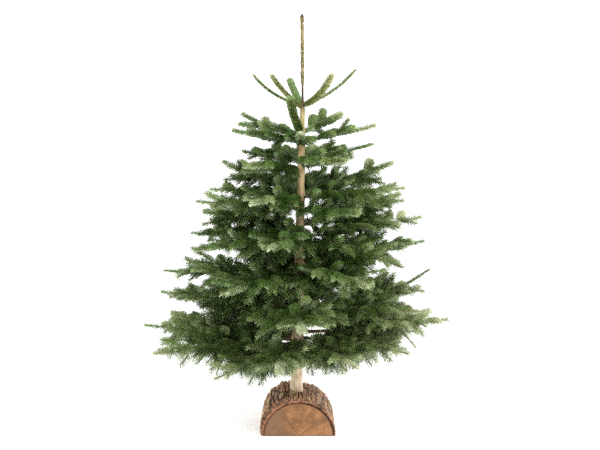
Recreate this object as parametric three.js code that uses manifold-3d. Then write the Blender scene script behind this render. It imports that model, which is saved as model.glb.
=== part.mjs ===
// Fir Christmas tree without decorations, about 1.47 m tall, standing in half of a round log.
// Units are millimetres. +Z is up, -Y is the front and +X is the right side as seen from the front.
// The origin is the middle of the log's flat underside, which stands on the floor.
import * as THREE from "three";
import { mergeVertices } from "three/addons/utils/BufferGeometryUtils.js";
import Module from "manifold-3d";

const wasm = await Module();
wasm.setup();

// Clear space kept between neighbouring pieces, and a little more where facets cut across a curve.
const CLEARANCE = 0.3;
const FACET_ALLOWANCE = 0.25;
// Edges shorter than this are merged away after pieces have been fused.
const SMALLEST_EDGE = 0.3;

// Trunk: its axis leans slightly from the flat cut inside the log to the foot of the leader, which
// stands nearly upright and ends in buds.
const TRUNK_FOOT = new THREE.Vector3(-9.8, -12, 53);
const LEADER_FOOT = new THREE.Vector3(14.7, -2.7, 1152);
const TRUNK_TIP = new THREE.Vector3(12.3, 0, 1470);
const TRUNK_SIDES = 10;
const TRUNK_RING_STEP = 36;
// Height above the floor and radius there: root flare, stem and leader, then the end buds.
const STEM_TAPER = [
  [53, 25.4], [128, 24.8], [208, 20.8], [484, 19], [698, 15.5], [848, 12.6], [998, 11],
  [1095, 8.7], [1152, 6.8], [1218, 5.4], [1444, 4.4],
];
const BUD_TAPER = [[1458, 7.6], [1466, 5.6], [1470, 1.6]];
// The stem swells where a whorl of boughs leaves it.
const SWELL_RADIUS = 1.4;
const SWELL_SPREAD = 22;

// Stand: half of a round log lying along Y, bark up, with a blind socket for the trunk.
const LOG_WOOD = { halfWidth: 120.5, height: 115, length: 214, steps: 26 };
const LOG_BARK = { length: 211, rimUneven: 3, columns: 30, rows: 9 };
// Bark thickness at even steps round the arch, from the right side over the top to the left.
const BARK_THICKNESS = [8, 11, 15, 19, 20, 32, 30, 20, 11];
// Plates stand out by chance, furrows lie between them and cracks cross some of them. These are
// depths in bark of full thickness, and they shrink with it.
const FULL_THICKNESS = 15.5;
const BARK_RELIEF = { plate: 2.3, furrow: 4.5, crack: 2.7, crackShare: 0.3, deepest: 8 };
const LOG_CUTTER_OVERHANG = 20;

// Boughs: eight-sided limbs that taper from the trunk to where the needles start.
const BOUGH_SIDES = 8;
const BOUGH_ROOT_RADIUS = 7.5;
const BOUGH_TIP_RADIUS = 4.6;
const BOUGH_COLLAR = 2.2;
const BOUGH_COLLAR_FADE = 6;
const BOUGH_RINGS = 5;

// Sprays: flattened three-sided blades with a tooth on both sides every so often.
// They are fewer and wider than the real shoots, whose needles make them about 35 wide.
const SPRAY_WIDTH = { 1: 52, 2: 54, 3: 48 };
const SPRAY_HEIGHT = { 1: 24, 2: 26, 3: 24 };
const TOOTH_PITCH = 75;
const TOOTH_WIDEST = 0.8;
const WAIST_SHARE = 0.46;
const END_FULLNESS = 0.72;
// A stem's neck: its reach from the trunk's axis, and at least this share of the stem.
const NECK_REACH = 44;
const NECK_LEAST = 0.02;
const STEM_ROOM = 1.15;

// Growth rule: side shoots leave at each year's joint, shorter towards the tip. A wander is how
// far a value strays from its mean either way, and angles are in degrees.
const LENGTH_RATIO = { 2: 0.74, 3: 0.66 };
const LENGTH_WANDER = 0.16;
const BRANCH_ANGLE = { 2: 56, 3: 50 };
const ANGLE_WANDER = 9;
const STEM_PAIR_LIFT = 8;
const ROLL_WANDER = 22;
const TOP_SHARE = 0.5;
const HANGING_SHARE = 0.55;
const FORWARD_CURL = { mean: 0.35, wander: 0.2 };
const UPWARD_CURL = { mean: 0.10, wander: 0.14 };
const JOINT_WANDER = 0.03;
const INNERMOST_JOINT = 0.02;
const OUTERMOST_JOINT = 0.93;
const AXIS_BEND = 10;
// Shortest side shoot: a share of the stem's reach, within limits.
const SHORTEST_SHARE = 0.212;
const SHORTEST_LIMITS = [42, 108];
// Each mass keeps to a sector about its stem.
const SECTOR_LIMITS = [24, 40];
const SECTOR_MARGIN = 20;
const STEEPEST_EXIT = 0.2;
// Where a direction is this near to the hint for its upright, a fixed one takes its place.
const NEARLY_PARALLEL = 0.98;
const SPARE_UPRIGHT = new THREE.Vector3(0, -1, 0.3).normalize();

// Whorls from the top down. years: how many seasons the boughs have grown. stem: radius of the
// mass's own stem. bare: the share of the reach without needles. limbs: whether that share is a
// bough of its own or part of the mass.
// boughs: height on the trunk, azimuth (0 right, 90 behind, 270 front), reach, rise in degrees
// at the trunk and rise at the tip.
const WHORLS = [
  { name: "w1", years: 1, stem: 3, bare: 0, limbs: false, boughs: [
    [1155, 22, 243, 16, 47], [1155, 312, 190, 4, 56], [1155, 158, 220, 13, 46],
    [1142, 227, 178, 27, 40], [1148, 116, 143, 36, 52], [1052, 249, 155, 42, 48]] },
  { name: "w2", years: 2, stem: 4.2, bare: 0.05, limbs: false, boughs: [
    [1030, 350, 258, 10, 12], [1058, 46, 218, 18, 22], [1026, 186, 240, 9, 9],
    [1048, 148, 268, 12, 8], [1016, 268, 130, 6, 20]] },
  { name: "w3", years: 3, stem: 4.8, bare: 0.06, limbs: false, boughs: [
    [958, 10, 262, 12, 14], [963, 168, 212, 6, 10], [928, 232, 270, 6, 0], [938, 306, 245, 8, 0],
    [948, 92, 260, 10, 14]] },
  { name: "w4", years: 4, stem: 5.2, bare: 0.08, limbs: false, boughs: [
    [850, 152, 340, 12, 24], [789, 204, 380, 5, 5], [842, 24, 390, 12, 21], [830, 340, 378, 5, 6],
    [814, 243, 340, 6, -4], [780, 302, 335, 4, -2], [826, 90, 340, 10, 11], [820, 177, 320, 9, 5]] },
  { name: "w5", years: 5, stem: 5.8, bare: 0.1, limbs: false, boughs: [
    [688, 176, 385, 1, 3], [688, 4, 440, 8, 10], [655, 322, 425, 2, -13], [676, 216, 420, 0, -2],
    [730, 34, 480, 9, 16], [722, 150, 424, 7, 6], [694, 256, 370, 0, -4]] },
  { name: "w6", years: 6, stem: 6.2, bare: 0.14, limbs: false, boughs: [
    [590, 2, 455, 9, 12], [546, 194, 470, 5, 4], [578, 300, 420, 2, -6], [552, 240, 430, 2, -4],
    [566, 100, 460, 8, 9]] },
  { name: "w7", years: 7, stem: 6.4, bare: 0.15, limbs: false, boughs: [
    [420, 165, 530, 3, 8], [380, 17, 560, 4, 32], [448, 272, 430, 1, -5], [454, 84, 430, 8, 9],
    [423, 343, 450, 3, 3]] },
  { name: "w8", years: 8, stem: 6.4, bare: 0.19, limbs: true, boughs: [
    [320, 180, 550, 3, 8], [348, 352, 530, 4, 9], [304, 205, 530, 2, 2], [328, 322, 460, 2, 0],
    [328, 122, 490, 4, 10], [324, 262, 390, 0, -8], [320, 298, 400, 0, -4], [282, 231, 412, 5, -10]] },
];

// Finishes.
const BARK_GREY_BROWN = new THREE.MeshStandardMaterial({ color: 0x8a7458, roughness: 0.9 });
const BOUGH_BROWN = new THREE.MeshStandardMaterial({ color: 0x6b563c, roughness: 0.85 });
const NEEDLE_GREEN = new THREE.MeshStandardMaterial({ color: 0x4c5c34, roughness: 0.55 });
const LOG_END_GRAIN = new THREE.MeshStandardMaterial({ color: 0xa6795a, roughness: 0.8 });
const LOG_BARK_BROWN = new THREE.MeshStandardMaterial({ color: 0x7a6350, roughness: 0.95 });

const UP = new THREE.Vector3(0, 0, 1);

// Start and factors of the whole-number hash that seeds every chance.
const HASH_START = 2166136261;
const HASH_FIRST_FACTOR = 16777619;
const HASH_SECOND_FACTOR = 2246822519;

// Seeded chance from 0 to 1 for a row of whole numbers.
function chance(...keys) {
  let hash = HASH_START;
  for (const key of keys) {
    hash = Math.imul(hash ^ key, HASH_FIRST_FACTOR);
    hash ^= hash >>> 15;
    hash = Math.imul(hash, HASH_SECOND_FACTOR);
    hash ^= hash >>> 13;
  }
  return (hash >>> 0) / 2 ** 32;
}

function signedChance(...keys) {
  return 2 * chance(...keys) - 1;
}

// Unit direction for an azimuth and a rise in degrees.
function heading(azimuth, rise) {
  const turn = THREE.MathUtils.degToRad(azimuth);
  const lift = THREE.MathUtils.degToRad(rise);
  return new THREE.Vector3(Math.cos(turn) * Math.cos(lift), Math.sin(turn) * Math.cos(lift), Math.sin(lift));
}

// Part of the hint that stands square on the direction, or a fixed one where they nearly agree.
function uprightOn(direction, hint) {
  const agreement = direction.dot(hint);
  if (Math.abs(agreement) > NEARLY_PARALLEL) {
    return SPARE_UPRIGHT.clone();
  }
  return hint.clone().addScaledVector(direction, -agreement).normalize();
}

// Closed solid through equal rings of points, each end fanned to a point of its own.
// Rings run anticlockwise as seen from the last ring.
function loft(rings, startPoint, endPoint) {
  const sides = rings[0].length;
  const points = rings.flat();
  points.push(startPoint, endPoint);
  const first = points.length - 2;
  const last = points.length - 1;
  const lastRing = (rings.length - 1) * sides;
  const triangles = [];
  for (let side = 0; side < sides; side += 1) {
    const next = (side + 1) % sides;
    triangles.push(first, next, side);
    for (let row = 0; row < lastRing; row += sides) {
      triangles.push(row + side, row + next, row + sides + next);
      triangles.push(row + side, row + sides + next, row + sides + side);
    }
    triangles.push(last, lastRing + side, lastRing + next);
  }
  return toSolid(points.flatMap((point) => [point.x, point.y, point.z]), triangles);
}

function toSolid(positions, triangles) {
  const mesh = new wasm.Mesh({
    numProp: 3,
    vertProperties: Float32Array.from(positions),
    triVerts: Uint32Array.from(triangles),
  });
  return new wasm.Manifold(mesh);
}

// Solid of a closed three.js geometry, in the place that a matrix gives it.
function geometryToSolid(geometry, matrix) {
  const bare = geometry.clone().applyMatrix4(matrix);
  bare.deleteAttribute("normal");
  bare.deleteAttribute("uv");
  const merged = mergeVertices(bare);
  return toSolid(merged.attributes.position.array, merged.index.array);
}

function solidToGeometry(solid) {
  const mesh = solid.getMesh();
  const geometry = new THREE.BufferGeometry();
  geometry.setAttribute("position", new THREE.BufferAttribute(Float32Array.from(mesh.vertProperties), 3));
  geometry.setIndex(new THREE.BufferAttribute(Uint32Array.from(mesh.triVerts), 1));
  const faceted = geometry.toNonIndexed();
  faceted.computeVertexNormals();
  return faceted;
}

function makePiece(name, solid, material) {
  const piece = new THREE.Mesh(solidToGeometry(solid), material);
  piece.name = name;
  return piece;
}

// The largest connected body: loose scraps are dropped and sealed hollows are filled.
function largestBody(solid) {
  return solid.decompose().reduce((best, body) => (body.volume() > best.volume() ? body : best));
}

// Mean of a ring's points.
function middleOf(ring) {
  const sum = ring.reduce((total, point) => total.add(point), new THREE.Vector3());
  return sum.divideScalar(ring.length);
}

// Round ring about a point, square on a direction.
function roundRing(centre, direction, hint, radius, sides) {
  const up = uprightOn(direction, hint);
  const across = new THREE.Vector3().crossVectors(up, direction);
  return Array.from({ length: sides }, (_, side) => {
    const angle = (side / sides) * 2 * Math.PI;
    return centre.clone()
      .addScaledVector(across, radius * Math.cos(angle))
      .addScaledVector(up, radius * Math.sin(angle));
  });
}

// Trunk

function trunkAxisAt(height) {
  const [below, above] = height < LEADER_FOOT.z ? [TRUNK_FOOT, LEADER_FOOT] : [LEADER_FOOT, TRUNK_TIP];
  return below.clone().lerp(above, (height - below.z) / (above.z - below.z));
}

// Radius of the stem from its taper, with a swelling at the mean height of each whorl.
function stemRadiusAt(height) {
  const above = Math.max(1, STEM_TAPER.findIndex(([level]) => level >= height));
  const [lowHeight, lowRadius] = STEM_TAPER[above - 1];
  const [highHeight, highRadius] = STEM_TAPER[above];
  const swelling = WHORLS.reduce((sum, whorl) => {
    const level = whorl.boughs.reduce((total, bough) => total + bough[0], 0) / whorl.boughs.length;
    return sum + SWELL_RADIUS * Math.exp(-(((height - level) / SWELL_SPREAD) ** 2));
  }, 0);
  return THREE.MathUtils.mapLinear(height, lowHeight, highHeight, lowRadius, highRadius) + swelling;
}

// Trunk grown outwards by an amount; with an amount of 0 it is the trunk itself.
function trunkSolid(grown) {
  const footHeight = STEM_TAPER[0][0];
  const leaderTop = STEM_TAPER[STEM_TAPER.length - 1][0];
  const levels = [];
  for (let height = footHeight; height < leaderTop; height += TRUNK_RING_STEP) {
    levels.push([height, stemRadiusAt(height)]);
  }
  levels.push([leaderTop, stemRadiusAt(leaderTop)], ...BUD_TAPER);
  const axis = TRUNK_TIP.clone().sub(TRUNK_FOOT).normalize();
  const forward = new THREE.Vector3(0, -1, 0);
  const rings = levels.map(([height, radius]) => (
    roundRing(trunkAxisAt(height), axis, forward, radius + grown, TRUNK_SIDES)
  ));
  // The foot is cut level.
  for (const point of rings[0]) {
    point.z = footHeight - grown;
  }
  const top = TRUNK_TIP.clone().addScaledVector(axis, grown);
  return loft(rings, middleOf(rings[0]), top);
}

// Stand

// Half-round outline with its flat side down, extruded along Y and centred on the origin.
function halfLog(halfWidth, height, length, below) {
  const outline = new THREE.Shape();
  outline.moveTo(halfWidth, 0);
  outline.absellipse(0, 0, halfWidth, height, 0, Math.PI, false);
  if (below > 0) {
    outline.lineTo(-halfWidth, -below);
    outline.lineTo(halfWidth, -below);
  }
  outline.closePath();
  const geometry = new THREE.ExtrudeGeometry(outline, {
    depth: length, steps: 1, bevelEnabled: false, curveSegments: LOG_WOOD.steps,
  });
  const place = new THREE.Matrix4().makeRotationX(Math.PI / 2).setPosition(0, length / 2, 0);
  return geometryToSolid(geometry, place);
}

function logWoodSolid(socket) {
  return halfLog(LOG_WOOD.halfWidth, LOG_WOOD.height, LOG_WOOD.length, 0).subtract(socket);
}

// Bark thickness at a share of the way round the arch.
function barkThicknessAt(share) {
  const place = share * (BARK_THICKNESS.length - 1);
  const before = Math.min(Math.floor(place), BARK_THICKNESS.length - 2);
  return THREE.MathUtils.lerp(BARK_THICKNESS[before], BARK_THICKNESS[before + 1], place - before);
}

// Bark: furrowed plates stand out over the half round, and the wood and the socket are cut away.
function logBarkSolid(socket) {
  const { length, rimUneven, columns, rows } = LOG_BARK;
  const rings = [];
  for (let row = 0; row < rows; row += 1) {
    const onRim = row === 0 || row === rows - 1;
    const along = row / (rows - 1) - 0.5;
    const ring = [];
    for (let column = 0; column <= columns; column += 1) {
      const angle = (column / columns) * Math.PI;
      const furrow = column % 2 === 0 ? BARK_RELIEF.furrow : 0;
      const crack = chance(column >> 1, row, 5) < BARK_RELIEF.crackShare ? BARK_RELIEF.crack : 0;
      const relief = BARK_RELIEF.plate * signedChance(column, row, 3) - furrow - crack;
      const thickness = barkThicknessAt(column / columns);
      const stand = thickness * (1 + Math.max(relief, -BARK_RELIEF.deepest) / FULL_THICKNESS);
      const rim = onRim ? rimUneven * signedChance(column, row, 9) : 0;
      ring.push(new THREE.Vector3(
        (LOG_WOOD.halfWidth + stand) * Math.cos(angle),
        -along * length + rim,
        (LOG_WOOD.height + stand) * Math.sin(angle),
      ));
    }
    rings.push(ring);
  }
  const outer = loft(rings, middleOf(rings[0]), middleOf(rings[rows - 1]));
  const woodRoom = halfLog(
    LOG_WOOD.halfWidth + CLEARANCE,
    LOG_WOOD.height + CLEARANCE,
    length + 2 * LOG_CUTTER_OVERHANG,
    LOG_CUTTER_OVERHANG,
  );
  return largestBody(outer.subtract(woodRoom).subtract(socket)).simplify(SMALLEST_EDGE);
}

// Shoots

// One shoot: a curve that leaves in one direction and arrives in another.
class Shoot {
  constructor({ start, leave, arrive, length, years, order, key, hint, mass }) {
    Object.assign(this, { start, leave, arrive, length, years, order, key, hint, mass });
    const bend = start.clone().addScaledVector(leave, length / 2);
    const end = bend.clone().addScaledVector(arrive, length / 2);
    this.curve = new THREE.QuadraticBezierCurve3(start, bend, end);
  }

  at(share) {
    return this.curve.getPoint(share);
  }

  along(share) {
    return this.leave.clone().lerp(this.arrive, share).normalize();
  }
}

// Room to either side of a bough: half the angle to its nearest neighbour in the whorl.
function halfSectorOf(whorl, azimuth) {
  const gaps = whorl.boughs
    .filter((bough) => bough[1] !== azimuth)
    .map((bough) => Math.abs(THREE.MathUtils.euclideanModulo(azimuth - bough[1] + 180, 360) - 180));
  return THREE.MathUtils.clamp(Math.min(...gaps) / 2, ...SECTOR_LIMITS);
}

// First-order shoots: the stem of every mass, with what the mass needs to know about itself.
function plantStems() {
  return WHORLS.flatMap((whorl, level) => whorl.boughs.map((bough, place) => {
    const [height, azimuth, reach, riseAtTrunk, riseAtTip] = bough;
    const key = level * 101 + place * 17 + 5;
    const bend = AXIS_BEND * signedChance(key, 9);
    const mass = {
      name: `${whorl.name}_${"abcdefgh"[place]}`,
      stem: whorl.stem,
      bare: whorl.bare,
      limb: whorl.limbs,
      halfSector: halfSectorOf(whorl, azimuth),
      shortest: THREE.MathUtils.clamp(SHORTEST_SHARE * reach, ...SHORTEST_LIMITS),
    };
    return new Shoot({
      start: trunkAxisAt(height),
      leave: heading(azimuth - bend, riseAtTrunk),
      arrive: heading(azimuth + bend, riseAtTip),
      length: reach,
      years: whorl.years,
      order: 1,
      key,
      hint: UP,
      mass,
    });
  }));
}

// Side shoots of a shoot, from its oldest joint to its youngest: a pair at each joint, and one
// on top or hanging below in turn on the stems.
function sideShootsOf(parent) {
  const order = parent.order + 1;
  const shoots = [];
  const innermost = INNERMOST_JOINT + (parent.order === 1 ? parent.mass.bare : 0);
  for (let joint = 1; joint < parent.years; joint += 1) {
    const share = joint / parent.years + JOINT_WANDER * signedChance(parent.key, joint, 1);
    if (share < innermost || share > OUTERMOST_JOINT) {
      continue;
    }
    const tangent = parent.along(share);
    const up = uprightOn(tangent, parent.hint);
    const across = new THREE.Vector3().crossVectors(tangent, up);
    const pairLift = parent.order === 1 ? STEM_PAIR_LIFT : 0;
    const places = [
      { place: 0, roll: pairLift, portion: 1 },
      { place: 1, roll: 180 - pairLift, portion: 1 },
    ];
    if (parent.order === 1) {
      places.push(joint % 2 === 1
        ? { place: 2, roll: 90, portion: TOP_SHARE }
        : { place: 2, roll: 270, portion: HANGING_SHARE });
    }
    for (const { place, roll, portion } of places) {
      const key = (parent.key * 31 + joint * 7 + place) >>> 0;
      const angle = THREE.MathUtils.degToRad(BRANCH_ANGLE[order] + ANGLE_WANDER * signedChance(key, 2));
      const turn = THREE.MathUtils.degToRad(roll + ROLL_WANDER * signedChance(key, 3));
      const sideways = across.clone().multiplyScalar(Math.cos(turn)).addScaledVector(up, Math.sin(turn));
      const leave = tangent.clone().multiplyScalar(Math.cos(angle)).addScaledVector(sideways, Math.sin(angle));
      const arrive = leave.clone()
        .addScaledVector(tangent, FORWARD_CURL.mean + FORWARD_CURL.wander * signedChance(key, 4))
        .addScaledVector(UP, UPWARD_CURL.mean + UPWARD_CURL.wander * signedChance(key, 5))
        .normalize();
      let length = parent.length * (1 - share) * LENGTH_RATIO[order] * portion
        * (1 + LENGTH_WANDER * signedChance(key, 6));
      if (parent.order === 1) {
        length = Math.min(length, roomBeside(parent, share, angle));
      }
      if (length >= parent.mass.shortest) {
        shoots.push(new Shoot({
          start: parent.at(share),
          leave,
          arrive,
          length,
          years: Math.max(1, Math.round(parent.years * (1 - share))),
          order,
          key,
          hint: up,
          mass: parent.mass,
        }));
      }
    }
  }
  return shoots;
}

// How far a side shoot can go before it leaves the sector that its mass keeps to.
function roomBeside(stem, share, angle) {
  const spread = Math.tan(THREE.MathUtils.degToRad(stem.mass.halfSector));
  const free = share * stem.length * spread + SECTOR_MARGIN;
  return free / Math.max(STEEPEST_EXIT, Math.sin(angle) - Math.cos(angle) * spread);
}

// Three-sided section of a spray: two low edges and a ridge.
function sprayRing(shoot, share, width, height) {
  const direction = shoot.along(share);
  const up = uprightOn(direction, shoot.hint);
  const across = new THREE.Vector3().crossVectors(up, direction);
  const centre = shoot.at(share);
  const low = centre.clone().addScaledVector(up, -height / 3);
  return [
    low.clone().addScaledVector(across, width / 2),
    centre.clone().addScaledVector(up, (2 * height) / 3),
    low.clone().addScaledVector(across, -width / 2),
  ];
}

// Toothed blade of a shoot: each tooth widens forwards and steps back in to a waist. A stem starts
// with a slim neck, and stays narrow near the trunk where its sector leaves little room.
function spraySolid(shoot) {
  const isStem = shoot.order === 1;
  const { stem, bare, limb, halfSector } = shoot.mass;
  const startShare = isStem && limb ? bare + CLEARANCE / shoot.length : 0;
  const bareShare = limb ? 0 : bare;
  const neckShare = isStem ? Math.max(startShare + NECK_LEAST, bareShare, NECK_REACH / shoot.length) : 0;
  const teeth = Math.max(2, Math.round((shoot.length * (1 - neckShare)) / TOOTH_PITCH));
  const rings = [];
  if (isStem) {
    rings.push(sprayRing(shoot, startShare, 2 * stem, 2 * stem));
    rings.push(sprayRing(shoot, neckShare, 2 * stem, 2 * stem));
  }
  const spread = Math.tan(THREE.MathUtils.degToRad(halfSector));
  for (let tooth = 0; tooth < teeth; tooth += 1) {
    const wideShare = neckShare + (1 - neckShare) * ((tooth + TOOTH_WIDEST) / teeth);
    const waistShare = neckShare + (1 - neckShare) * ((tooth + 1) / teeth);
    const fullness = THREE.MathUtils.lerp(END_FULLNESS, 1, Math.sin(Math.PI * wideShare));
    const room = isStem ? STEM_ROOM * wideShare * shoot.length * spread : Infinity;
    const width = Math.min(SPRAY_WIDTH[shoot.order] * fullness, room);
    const height = SPRAY_HEIGHT[shoot.order] * fullness;
    rings.push(sprayRing(shoot, wideShare, width, height));
    if (tooth < teeth - 1) {
      rings.push(sprayRing(shoot, waistShare, width * WAIST_SHARE, height));
    }
  }
  const startPoint = isStem ? middleOf(rings[0]) : shoot.at(0);
  return loft(rings, startPoint, shoot.at(1));
}

// Bough: a tapering limb with a collar at the trunk, from inside it to where the needles start.
function boughSolid(stem) {
  const rings = [];
  for (let row = 0; row < BOUGH_RINGS; row += 1) {
    const onward = row / (BOUGH_RINGS - 1);
    const share = onward * stem.mass.bare;
    const collar = BOUGH_COLLAR * Math.exp(-BOUGH_COLLAR_FADE * onward);
    const radius = THREE.MathUtils.lerp(BOUGH_ROOT_RADIUS, BOUGH_TIP_RADIUS, onward) + collar;
    rings.push(roundRing(stem.at(share), stem.along(share), UP, radius, BOUGH_SIDES));
  }
  return loft(rings, middleOf(rings[0]), middleOf(rings[BOUGH_RINGS - 1]));
}

// True where two boxes come within the clearance of each other.
function boxesMeet(one, other) {
  return [0, 1, 2].every((axis) => one.min[axis] - CLEARANCE < other.max[axis]
    && other.min[axis] - CLEARANCE < one.max[axis]);
}

// True where a solid keeps the clearance to every placed solid that isn't of its own mass.
function isClear(solid, mass, placed) {
  const box = solid.boundingBox();
  return placed.every((other) => other.mass === mass || !boxesMeet(box, other.box)
    || solid.minGap(other.solid, 2 * CLEARANCE) >= CLEARANCE);
}

// Grow every mass together, one order of shoots after another, and skip what would touch.
function growMasses(stems, limbs) {
  const placed = limbs.map((solid) => ({ solid, mass: null, box: solid.boundingBox() }));
  const sprays = new Map();
  const place = (shoot, solid) => {
    placed.push({ solid, mass: shoot.mass, box: solid.boundingBox() });
    sprays.get(shoot.mass).push(solid);
  };
  for (const stem of stems) {
    sprays.set(stem.mass, []);
    place(stem, spraySolid(stem));
  }
  let parents = stems;
  for (let order = 2; order <= 3; order += 1) {
    const grown = [];
    for (const shoot of parents.flatMap(sideShootsOf)) {
      const solid = spraySolid(shoot);
      if (isClear(solid, shoot.mass, placed)) {
        place(shoot, solid);
        grown.push(shoot);
      }
    }
    parents = grown;
  }
  return sprays;
}

const trunk = trunkSolid(0);
const trunkRoom = trunkSolid(CLEARANCE + FACET_ALLOWANCE);
const stems = plantStems();
const boughs = stems
  .filter((stem) => stem.mass.limb)
  .map((stem) => ({ name: `bough_${stem.mass.name}`, solid: boughSolid(stem).subtract(trunkRoom) }));
const sprays = growMasses(stems, [trunk, ...boughs.map((bough) => bough.solid)]);

const stand = new THREE.Group();
stand.add(makePiece("log_wood", logWoodSolid(trunkRoom), LOG_END_GRAIN));
stand.add(makePiece("log_bark", logBarkSolid(trunkRoom), LOG_BARK_BROWN));

const tree = new THREE.Group();
tree.add(makePiece("trunk", trunk, BARK_GREY_BROWN));
for (const { name, solid } of boughs) {
  tree.add(makePiece(name, solid, BOUGH_BROWN));
}
for (const [mass, solids] of sprays) {
  const fused = wasm.Manifold.union(solids).subtract(trunkRoom);
  tree.add(makePiece(`needles_${mass.name}`, largestBody(fused).simplify(SMALLEST_EDGE), NEEDLE_GREEN));
}

const part = new THREE.Group();
part.add(stand, tree);

export default part;
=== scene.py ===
"""The look of a fir Christmas tree in a half-log stand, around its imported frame. Units are metres."""
import logging
import math
from dataclasses import dataclass, fields
from enum import IntEnum
from typing import Sequence

import bmesh
import bpy
import numpy as np
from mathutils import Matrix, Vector


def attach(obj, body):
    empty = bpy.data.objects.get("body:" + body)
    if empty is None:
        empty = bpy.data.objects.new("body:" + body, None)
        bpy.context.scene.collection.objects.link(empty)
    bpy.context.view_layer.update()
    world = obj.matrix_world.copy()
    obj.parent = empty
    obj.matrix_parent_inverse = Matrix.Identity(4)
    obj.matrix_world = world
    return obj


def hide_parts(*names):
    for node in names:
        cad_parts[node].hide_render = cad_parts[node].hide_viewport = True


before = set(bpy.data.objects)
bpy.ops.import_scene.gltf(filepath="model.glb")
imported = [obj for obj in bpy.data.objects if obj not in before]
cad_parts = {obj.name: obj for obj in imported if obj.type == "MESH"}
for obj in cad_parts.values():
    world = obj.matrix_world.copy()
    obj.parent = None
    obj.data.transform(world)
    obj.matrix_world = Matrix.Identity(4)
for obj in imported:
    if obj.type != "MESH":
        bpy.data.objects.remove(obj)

Tint = tuple[int, int, int]
Pair = tuple[float, float]
Triple = tuple[float, float, float]
Row = tuple[float, ...]
Socket = bpy.types.NodeSocket

LOG = logging.getLogger("fir_tree")
BODY = "root"
ALONG_X = np.array([1.0, 0.0, 0.0])
ALONG_Y = np.array([0.0, 1.0, 0.0])
UP = np.array([0.0, 0.0, 1.0])
SPARE_HINT = np.array([0.0, -1.0, 0.3])
NEARLY_PARALLEL = 0.98
HALF_TURN = 180.0
FULL_CIRCLE = 2.0 * math.pi
GOLDEN_SHARE = 0.6180339887
WORD = 0xFFFFFFFF
HASH_START = 2166136261
HASH_FACTOR = 16777619
HASH_MIX = 2246822519
SEED_STEP = 7919


# Chance and noise

class Draw(IntEnum):
    """What a seeded chance decides, so that each decision has its own."""

    JOINT = 1
    ANGLE = 2
    ROLL = 3
    FORWARD = 4
    UPWARD = 5
    LENGTH = 6
    ON_TOP = 8
    BEND = 9


class Pattern(IntEnum):
    """Seeds of the noise patterns, one for each use."""

    SPRAY = 3
    TRUNK_BROAD = 11
    TRUNK_FINE = 12
    BOUGH = 21
    BARK_ACROSS = 31
    BARK_ALONG = 32
    PLATES = 33
    SMALL_PLATES = 36
    BARK_RIM = 41


def chance(*keys: int) -> float:
    """Seeded chance from 0 to 1 for a row of whole numbers, by a 32-bit hash.

    Args:
        keys: whole numbers that name the draw.

    Returns:
        A number from 0 up to 1.
    """
    value = HASH_START
    for key in keys:
        value = ((value ^ (key & WORD)) * HASH_FACTOR) & WORD
        value ^= value >> 15
        value = (value * HASH_MIX) & WORD
        value ^= value >> 13
    return value / 2 ** 32


def signed_chance(*keys: int) -> float:
    """Seeded chance from -1 to 1."""
    return 2.0 * chance(*keys) - 1.0


def hashed_cells(cells: np.ndarray, seed: int) -> np.ndarray:
    """The same hash for whole arrays: a number from 0 to 1 for each row of whole numbers.

    Args:
        cells: whole numbers, the last axis holding one cell's address.
        seed: picks one of many independent patterns.

    Returns:
        An array without the last axis.
    """
    word = np.uint64(WORD)
    value = np.full(cells.shape[:-1], HASH_START + SEED_STEP * seed, np.uint64)
    for axis in range(cells.shape[-1]):
        value = (value ^ (cells[..., axis].astype(np.int64).astype(np.uint64) & word))
        value = (value * np.uint64(HASH_FACTOR)) & word
        value = value ^ (value >> np.uint64(15))
        value = (value * np.uint64(HASH_MIX)) & word
        value = value ^ (value >> np.uint64(13))
    return value.astype(float) / 2 ** 32


def lattice_noise(points: np.ndarray, cell: Sequence[float], seed: int) -> np.ndarray:
    """Smooth noise from -1 to 1: values at a lattice's corners, blended with eased weights.

    Args:
        points: array whose last axis holds coordinates.
        cell: lattice step along each coordinate.
        seed: picks the pattern.

    Returns:
        An array without the last axis.
    """
    scaled = points / np.asarray(cell, float)
    base = np.floor(scaled)
    eased = ease(scaled - base, 0.0, 1.0)
    dimensions = points.shape[-1]
    total = np.zeros(points.shape[:-1])
    for corner in range(2 ** dimensions):
        offset = np.array([(corner >> axis) & 1 for axis in range(dimensions)])
        weight = np.prod(np.where(offset == 1, eased, 1.0 - eased), axis=-1)
        total += weight * (2.0 * hashed_cells(base + offset, seed) - 1.0)
    return total


def plate_pattern(points: np.ndarray, cell: Sequence[float], seed: int) -> tuple[np.ndarray, np.ndarray]:
    """Irregular plates: each point's nearest jittered lattice site, and how far the next one is.

    Args:
        points: array whose last axis holds two surface coordinates.
        cell: mean plate size along each coordinate.
        seed: picks the pattern.

    Returns:
        The edge distance, 0 on a furrow and up to about 0.5 inside, and each plate's own chance.
    """
    far = 9.0
    margin = 0.15
    scaled = points / np.asarray(cell, float)
    base = np.floor(scaled)
    nearest = np.full(points.shape[:-1], far)
    second = np.full(points.shape[:-1], far)
    own = np.zeros(points.shape[:-1])
    for step in np.ndindex(3, 3):
        site = base + np.array(step) - 1.0
        jitter = np.stack([hashed_cells(site, seed), hashed_cells(site, seed + 1)], axis=-1)
        distance = np.linalg.norm(site + margin + (1.0 - 2.0 * margin) * jitter - scaled, axis=-1)
        closer = distance < nearest
        second = np.where(closer, nearest, np.minimum(second, distance))
        own = np.where(closer, hashed_cells(site, seed + 2), own)
        nearest = np.where(closer, distance, nearest)
    return second - nearest, own


# Directions and meshes

def ease(value: np.ndarray, low: float, high: float) -> np.ndarray:
    """Eased step from 0 at low to 1 at high: t^2 * (3 - 2 t)."""
    share = np.clip((value - low) / (high - low), 0.0, 1.0)
    return share * share * (3.0 - 2.0 * share)


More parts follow.
